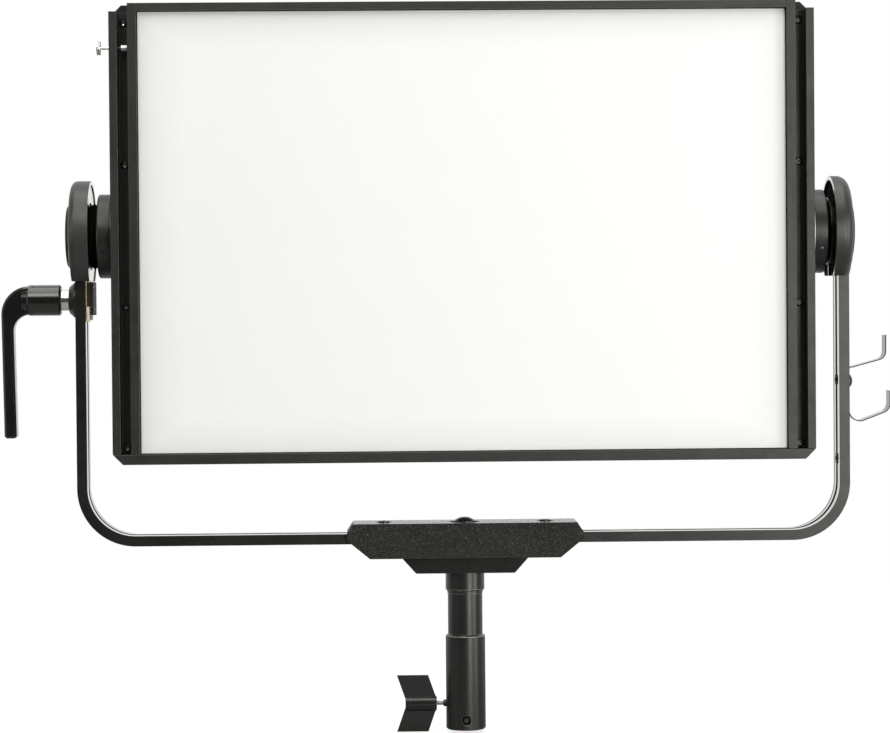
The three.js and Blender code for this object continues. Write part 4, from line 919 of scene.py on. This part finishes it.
def u_path():
    """Stations along the bar's outer face: (x, z, outward x, outward z)."""
    corner = BAR_OUTER - BAR_CORNER
    low = BAR_BOTTOM + BAR_CORNER
    stations = [(-BAR_OUTER, BAR_TOP, -1, 0)]
    for x, start in ((-corner, 180), (corner, 270)):
        for u, v in arc(0, 0, 1, start, start + 90, 32):
            stations.append((x + BAR_CORNER * u, low + BAR_CORNER * v, u, v))
    stations.append((BAR_OUTER, BAR_TOP, 1, 0))
    return stations


def yoke_bar():
    """A flat bar with a groove along its inner face and a step behind, bent into a U."""
    front, back = -BAR_DEPTH / 2, BAR_DEPTH / 2
    section = [
        (0, front),
        (0, back),
        (9.3, back),
        (9.3, 12),
        (BAR_THICKNESS, 12),
        (BAR_THICKNESS, 2),
        (6.6, 2),
        (6.6, -8),
        (BAR_THICKNESS, -8),
        (BAR_THICKNESS, front),
    ]
    rings = []
    for x, z, out_x, out_z in u_path():
        rings.append([in_metres(x - out_x * t, y, z - out_z * t) for t, y in section])
    stud_hole = lathe(rod(6.3, BAR_INNER - 2, BAR_OUTER + 2), "-x", (0, 0, LOCK), SMALL_ROUND)
    bar = cut(loft(rings), stud_hole)
    add_piece("yoke_strap", bar, "black_paint", "yoke", 0.5, ["yoke_bar"], "strap_paint")


yoke_bar()


def slot_nut(name, z):
    """A small plate across the groove of the right arm, with a set screw."""
    plate = block((BAR_INNER - 0.9, BAR_INNER + 3.2), (-7.6, 1.6), (z - 5, z + 5))
    screw = lathe(rod(2, BAR_INNER - 1.6, BAR_INNER), "x", (0, -3, z), SMALL_ROUND)
    add_piece(name, join(plate, screw), "black_steel", "yoke", 0.3, (), "black_plastic")


slot_nut("slot_nut_upper", 343)
slot_nut("slot_nut_lower", 265)

# ---------------------------------------------------------------- tilt lock


def tilt_lock():
    centre = (0, 0, LOCK)
    base = lathe([
        (6.3, 380.4),
        (17.5, 380.4),
        (17.5, 382.4),
        (13.0, 387.4),
        (6.3, 387.4),
        (6.3, 380.4),
    ], "-x", centre)
    add_piece("lock_washer", base, "black_paint", "yoke", 0.3, ["lock_base"])
    shaft = lathe([
        (0, 366.4),
        (6, 366.4),
        (6, 387.7),
        (10.5, 387.7),
        (10.5, 395.2),
        (0, 395.2),
    ], "-x", centre)
    add_piece("lock_spindle", shaft, "bright_steel", "tilt_lever", 0.35, ["lever_shaft"])


def lever():
    hub_inner, hub_outer, hub_radius = 395.5, 428.6, 15.2
    chamfer = 1.6
    hub = lathe([
        (0, hub_inner),
        (hub_radius - chamfer, hub_inner),
        (hub_radius, hub_inner + chamfer),
        (hub_radius, hub_outer - chamfer),
        (hub_radius - chamfer, hub_outer),
        (0, hub_outer),
    ], "-x", (0, 0, LOCK))
    collar = lathe([
        (0, hub_outer - 3),
        (14.3, hub_outer - 3),
        (12.7, hub_outer + 5.4),
        (0, hub_outer + 5.4),
    ], "-x", (0, 0, LOCK))
    elbow, width, lean, tip, end = 28.0, 12.0, 2.0, 2.0, -135.6
    outer_x = -hub_outer - elbow + 2.6
    inner_x = outer_x + width
    centre_x = outer_x + elbow
    bend = centre_x - inner_x
    outline = [
        (centre_x + 3, elbow / 2),
        *arc(centre_x, -elbow / 2, elbow, 90, 180, 24),
        (outer_x + lean, end + tip),
        (outer_x + lean + tip, end),
        (inner_x + lean - tip, end),
        (inner_x + lean, end + tip),
        *arc(centre_x, -elbow / 2 - bend, bend, 180, 90, 20),
        (centre_x + 3, -elbow / 2),
    ]
    arm = chamfered_prism([(x, LOCK + z) for x, z in outline], -9.5, 9.5, 2.0)
    handle = join(hub, collar, arm)
    add_piece("tilt_handle", handle, "black_paint", "tilt_lever", 0.35, ["lever_handle"], "gloss_paint")


CLAMP_PLATE = 2.2
CLAMP_SCREW_Y = -13.0
CLAMP_SCREWS = {"upper": PIVOT - 49.5, "lower": PIVOT - 72.7}


def clamp_screw(word, z):
    seat, end, radius = 362.8, 368.7, 2.4
    centre = (0, CLAMP_SCREW_Y, z)
    screw = lathe([
        (0, seat - 0.9),
        (radius - 0.7, seat - 0.9),
        (radius - 0.2, seat - 0.6),
        (radius, seat),
        (1.5, seat),
        (1.5, end),
        (0, end),
    ], "-x", centre, SMALL_ROUND)
    screw = cut(screw, hex_hole(1.1, seat - 3, seat - 0.4, "-x", centre))
    add_piece(f"clamp_bolt_{word}", screw, "bright_steel", "yoke", 0.1, [f"clamp_screw_{word}"], "dull_steel")


def clamp_pad():
    """A black pad with a brass liner against the arm and an ivory strip along its lower end."""
    low, high = (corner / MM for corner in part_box("clamp_pad"))
    liner, shelf = 0.7, 15.0
    lined = block((low.x, low.x + liner), (low.y, high.y), (low.z, high.z))
    add_piece("clamp_liner", lined, "pad_brass", "yoke", 0.2, ["clamp_pad"])
    start = low.x + liner + 0.15
    depth = (low.y + 0.6, high.y)
    body = block((start, high.x), depth, (low.z + shelf, high.z))
    add_piece("clamp_body", body, "black_plastic", "yoke", 0.3)
    strip = block((start, high.x - 1.2), depth, (low.z + 1.8, low.z + shelf - GAP))
    add_piece("clamp_strip", strip, "pad_brass", "yoke", 0.3, (), "pad_ivory")


def clamp_cover():
    """A thin black plate over the pad, with a hole for each screw."""
    low, high = (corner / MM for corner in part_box("clamp_plate"))
    plate = block((low.x, low.x + CLAMP_PLATE), (low.y, high.y), (low.z, high.z))
    for z in CLAMP_SCREWS.values():
        plate = cut(plate, lathe(rod(1.8, 358, 368), "-x", (0, CLAMP_SCREW_Y, z), SMALL_ROUND))
    add_piece("clamp_cover", plate, "black_steel", "yoke", 0.4, ["clamp_plate"], "black_plastic")


tilt_lock()
lever()
clamp_pad()
clamp_cover()
for word, height in CLAMP_SCREWS.items():
    clamp_screw(word, height)

# ---------------------------------------------------------------- cable hooks


def strip_outline(path, thickness):
    """The outline of a strip of even thickness along a path."""
    points = [Vector(p) for p in path]
    left, right = [], []
    for i, point in enumerate(points):
        along = (points[min(i + 1, len(points) - 1)] - points[max(i - 1, 0)]).normalized()
        side = Vector((-along.y, along.x)) * thickness / 2
        left.append(point + side)
        right.append(point - side)
    return [tuple(p) for p in left + right[::-1]]


def cable_hooks():
    strip = 1.1
    flat = BAR_OUTER + GAP + strip / 2
    path = [
        (418.1, -103.2),
        *arc(409.6, -119.4, 8.4, 0, -70, 12),
        (385.4, -134.6),
        *arc(flat + 3, -137.6, 3, 110, 180, 8),
        *arc(flat + 12, -176.2, 12, 180, 250, 12),
        *arc(392.6, -180.2, 7.9, 255, 284, 4),
        *arc(412.2, -170.6, 10, -65, 0, 12),
        (422.2, -158.2),
    ]
    hooks = prism(strip_outline([(x, z + PIVOT) for x, z in path], strip), -10, 10)
    add_piece("cable_hooks", hooks, "black_steel", "yoke", 0.1, ["hook_bracket"], "hook_paint")
    face = flat + strip / 2 + 0.2
    centre = (0, 0, PIVOT - 148.5)
    screw = lathe([
        (0, 374.1),
        (2.5, 374.1),
        (2.5, face),
        (7.6, face),
        (7.6, face + 0.9),
        *arc(0.6, face - 3.6, 8, 33, 78, 8),
        (0, face + 4.2),
    ], "x", centre)
    screw = cut(screw, hex_hole(2.3, face + 2, face + 6, "x", centre))
    add_piece("hook_bolt", screw, "black_steel", "yoke", 0.15, ["hook_screw"])


cable_hooks()

# ---------------------------------------------------------------- base

for node_name in ("base_block_upper", "base_block_lower"):
    dress(node_name, "wrinkle_paint", 0.6)
dress("lower_plate", "wrinkle_paint", 0.6, "gloss_paint")


def centre_bolt():
    seat, end = 204.1, 112.0
    bolt = lathe([
        (0, end),
        (6, end),
        (6, seat),
        (11.8, seat),
        (11.8, seat + 2.2),
        *arc(0, seat - 9.6, 15.8, 48, 75, 8),
        (0, seat + 6.2),
    ], "z")
    bolt = cut(bolt, hex_hole(4, seat + 3, seat + 8, "z", (0, 0, 0)))
    add_piece("centre_screw", bolt, "black_steel", "yoke", 0.25, ["centre_bolt"])


def block_screw(word, side):
    seat, end = 201.6, 177.0
    centre = (side * 79.8, 0, 0)
    screw = lathe([
        (0, end),
        (3, end),
        (3, seat),
        (5.25, seat),
        (5.25, seat + 5.2),
        (0, seat + 5.2),
    ], "z", centre, SMALL_ROUND)
    screw = cut(screw, hex_hole(2.6, seat + 2.6, seat + 7, "z", centre))
    add_piece(f"block_bolt_{word}", screw, "black_steel", "yoke", 0.3, [f"block_screw_{word}"])


centre_bolt()
for word, side in SIDES:
    block_screw(word, side)


def spigot():
    bolt_hole, bolt_floor = 6.3, 109.0
    body = lathe([
        (14.4, 0),
        (18.2, 0),
        (19.6, 1.4),
        (19.6, 92.2),
        (19.0, 93.2),
        (17.4, 94),
        (17.15, 94.3),
        (17.15, 134.6),
        (17.6, 134.9),
        (17.6, 137.5),
        (18.05, 137.5),
        (19.25, 138.9),
        (19.25, 155.7),
        (bolt_hole, 155.7),
        (bolt_hole, bolt_floor),
        (0, bolt_floor),
        (0, 62),
        (14.4, 62),
        (14.4, 0),
    ], "z")
    countersink = [(0, -25), (10.8, -25), (4.4, -18.6), (4.4, -8), (0, -8)]
    sight = lathe(countersink, "y", (0, 0, SIGHT_HEIGHT), SMALL_ROUND)
    boss = lathe(rod(3.4, 16.4, 22.2), "-x", (0, 0, WING_HEIGHT), SMALL_ROUND)
    thread_hole = lathe(rod(2.65, 8, 24), "-x", (0, 0, WING_HEIGHT), SMALL_ROUND)
    made = cut(join(body, boss), sight, thread_hole)
    add_piece("spigot_body", made, "spigot_anodised", "yoke", 0.25, ["spigot"])


def spigot_details():
    """Bright turned edges at the two steps, and the set screw inside the sight hole."""
    edges = together(
        lathe([(18.6, 92.8), (19.62, 92.1), (19.62, 92.4), (18.9, 93.2), (18.6, 92.8)], "z"),
        lathe([(18.4, 138.2), (19.27, 139.0), (19.27, 139.2), (18.4, 138.4), (18.4, 138.2)], "z"),
    )
    add_piece("spigot_edges", edges, "spigot_anodised", "yoke", 0, (), "dimmed_steel")
    centre = (0, 0, SIGHT_HEIGHT)
    plug = lathe(rod(2.6, -16.6, -14.8), "y", centre, SMALL_ROUND)
    plug = cut(plug, hex_hole(1.3, -18, -16, "y", centre))
    add_piece("sight_plug", plug, "black_steel", "yoke", 0.3)


def thread():
    """A helical thread: the radius follows the distance along the axis and the angle round it."""
    start, end, pitch, spacing = 15.4, 28.6, 1.5, 0.125
    steps = int((end - start) / spacing)

    def wave(radius, distance, angle):
        turn = (distance / pitch - angle / (2 * math.pi)) % 1
        return radius - 0.85 * abs(2 * turn - 1)

    profile = [(0, start)]
    profile += [(2.4, start + (end - start) * i / steps) for i in range(steps + 1)]
    profile.append((0, end))
    bm = lathe(profile, "-x", (0, 0, WING_HEIGHT), SMALL_ROUND, wave)
    add_piece("wing_screw", bm, "bright_steel", "wing_stud", 0, ["wing_thread"], "raw_aluminium")


def wing():
    inner, outer, sweep, span, root = 28.9, 59.9, 8.4, 28.0, 4.0
    hub = lathe([
        (0, inner),
        (6.8, inner),
        (7.6, inner + 0.8),
        (7.6, outer - 0.8),
        (6.8, outer),
        (0, outer),
    ], "-x", (0, 0, WING_HEIGHT))
    upper = [(-inner, root), (-inner - sweep, span), (-outer - sweep, span), (-outer, root)]
    both = upper + [(x, -z) for x, z in reversed(upper)]
    leaves = prism([(x, WING_HEIGHT + z) for x, z in both], -1.6, 1.6)
    add_piece("wing_grip", join(hub, leaves), "black_paint", "wing", 0.7, ["wing_handle"], "gloss_paint")


spigot()
spigot_details()
thread()
wing()

# ---------------------------------------------------------------- back of the head

BACK = 80.0
PANEL_BACK = 66.3
PANEL_Z = PIVOT - 120


def dimmer():
    base, top = PANEL_BACK + 0.6, BACK - 1

    def fluted(radius, distance, angle):
        inside = base + 3 < distance < top - 0.5
        return radius - (0.35 * (1 + math.cos(36 * angle)) / 2 if inside and radius > 8 else 0)

    bm = lathe([
        (0, base - 12),
        (3, base - 12),
        (3, base),
        (13, base),
        (13, base + 1.6),
        (12.4, base + 2.4),
        (11.4, base + 3.2),
        (11.2, base + 5),
        (11.0, top - 1.6),
        (10.6, top - 0.8),
        (9.6, top),
        (8.4, top),
        (8.0, top - 0.5),
        (0, top - 0.5),
    ], "y", (66, 0, PANEL_Z), 180, fluted)
    add_piece("dimmer_grip", bm, "black_plastic", "dimmer", 0, ["dimmer_knob"])


def power_inlet():
    centre = (-215, 0, PANEL_Z)
    corners = polygon(4, 15 * math.sqrt(2), (centre[0], centre[2]), 45)
    flange = prism(corners, BACK + GAP, BACK + 2.3)
    barrel = lathe(rod(12, BACK - 18, BACK + 3.5), "y", centre)
    bore = lathe(rod(9, BACK - 12, BACK + 6), "y", centre)
    shell = cut(join(flange, barrel), bore)
    pins = []
    for degrees in (45, 135, 225, 315):
        angle = math.radians(degrees)
        at = (centre[0] + 4.6 * math.cos(angle), 0, centre[2] + 4.6 * math.sin(angle))
        pins.append(lathe(rod(1.2, BACK - 12.5, BACK - 2), "y", at, 24))
    add_piece("inlet_shell", shell, "black_steel", "head", 0.4, ["power_inlet"])
    add_piece("inlet_pins", together(*pins), "bright_steel", "head", 0.3)


def cover_screws():
    """Domed screws round the rear cover."""
    heads = []
    for x in (-310, -105, 105, 310):
        for z in (-188, 192):
            centre = (x, 0, PIVOT + z)
            head = lathe([(0, BACK - 3), (3.2, BACK - 3), (3.2, BACK + 0.6),
                          *arc(0.7, BACK - 0.9, 2.9, 31, 80, 5), (0, BACK + 2)], "y", centre, SMALL_ROUND)
            heads.append(cut(head, hex_hole(1.4, BACK + 0.6, BACK + 4, "y", centre)))
    add_piece("cover_screws", together(*heads), "black_steel", "head", 0.1)


dimmer()
power_inlet()
cover_screws()

# ---------------------------------------------------------------- stage, light and camera


def pale_floor():
    """A round floor that fades out into the pale surroundings."""
    bm = bmesh.new()
    bmesh.ops.create_circle(bm, cap_ends=True, radius=4.0, segments=ROUND)
    mesh = bpy.data.meshes.new("floor")
    bm.to_mesh(mesh)
    bm.free()
    floor = bpy.data.objects.new("floor", mesh)
    floor.location.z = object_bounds()[0].z - 0.5 * MM
    bpy.context.scene.collection.objects.link(floor)
    material = new_material("floor")
    tree = material.node_tree
    place = new_node(tree, "ShaderNodeTexCoord").outputs["Object"]
    length = new_node(tree, "ShaderNodeVectorMath", {0: place}, operation="LENGTH")
    seen = new_node(tree, "ShaderNodeLightPath").outputs["Is Camera Ray"]
    fill(tree, shader_inputs(material), {
        "Base Color": (0.27, 0.27, 0.27, 1),
        "Roughness": 0.7,
        "Alpha": remap(tree, length.outputs["Value"], 0.5, 1.7, 1, 0),
        "Emission Color": (1, 1, 1, 1),
        "Emission Strength": remap(tree, seen, 0, 1, 0, 0.77),
    })
    mesh.materials.append(material)


def surroundings():
    """Pale all round to the eye. As light it is bright behind the object and dim in front of it."""
    world = bpy.data.worlds.new("studio")
    world.use_nodes = True
    bpy.context.scene.world = world
    tree = world.node_tree
    tree.nodes.clear()
    direction = axes_of(tree, new_node(tree, "ShaderNodeTexCoord").outputs["Generated"])
    behind = remap(tree, direction["Y"], -0.2, 0.45, 0.03, 1.0)
    seen = new_node(tree, "ShaderNodeLightPath").outputs["Is Camera Ray"]
    level = new_node(tree, "ShaderNodeMix", {0: seen, 2: behind, 3: 1.0}, data_type="FLOAT").outputs[0]
    background = new_node(tree, "ShaderNodeBackground", {"Color": (1, 1, 1, 1), "Strength": level})
    new_node(tree, "ShaderNodeOutputWorld", {0: background.outputs[0]})


def softbox(name, place, size, power, aim=(0, 0, 0.4)):
    light = bpy.data.lights.new(name, "AREA")
    light.color = (1.0, 1.0, 0.93)
    light.shape = "RECTANGLE"
    light.size, light.size_y = size
    light.energy = power
    lamp = bpy.data.objects.new(name, light)
    lamp.location = place
    lamp.rotation_euler = (Vector(aim) - Vector(place)).to_track_quat("-Z", "Y").to_euler()
    lamp.visible_camera = False
    bpy.context.scene.collection.objects.link(lamp)


def camera():
    """Nearly three metres away, a little below the middle of the head and a little left of it."""
    place = (-0.0894, -2.9185, 0.4202)
    yaw, pitch, roll = (math.radians(a) for a in (1.40, -1.20, -0.46))
    forward = Vector((math.sin(yaw) * math.cos(pitch), math.cos(yaw) * math.cos(pitch), math.sin(pitch)))
    right = Vector((math.cos(yaw), -math.sin(yaw), 0))
    up = right.cross(forward)
    x_axis = right * math.cos(roll) + up * math.sin(roll)
    y_axis = up * math.cos(roll) - right * math.sin(roll)
    data = bpy.data.cameras.new("camera")
    data.lens = 119.4
    data.sensor_width = 36
    eye = bpy.data.objects.new("camera", data)
    turn = Matrix((x_axis, y_axis, -forward)).transposed().to_4x4()
    eye.matrix_world = Matrix.Translation(place) @ turn
    bpy.context.scene.collection.objects.link(eye)
    bpy.context.scene.camera = eye


pale_floor()
surroundings()
softbox("overhead", (0.1, -0.4, 2.6), (2.4, 2.4), 53)
softbox("upper_front", (-1.0, -2.3, 2.4), (1.6, 1.0), 29)
softbox("key", (1.35, -2.65, 0.38), (1.0, 1.3), 42, (0, 0, 0.38))
softbox("side", (2.3, -1.3, 0.45), (0.8, 1.3), 25, (0, 0, 0.45))
softbox("fill", (-2.9, -1.5, 1.2), (1.2, 1.6), 18)
camera()
bpy.context.scene.view_settings.view_transform = "Standard"
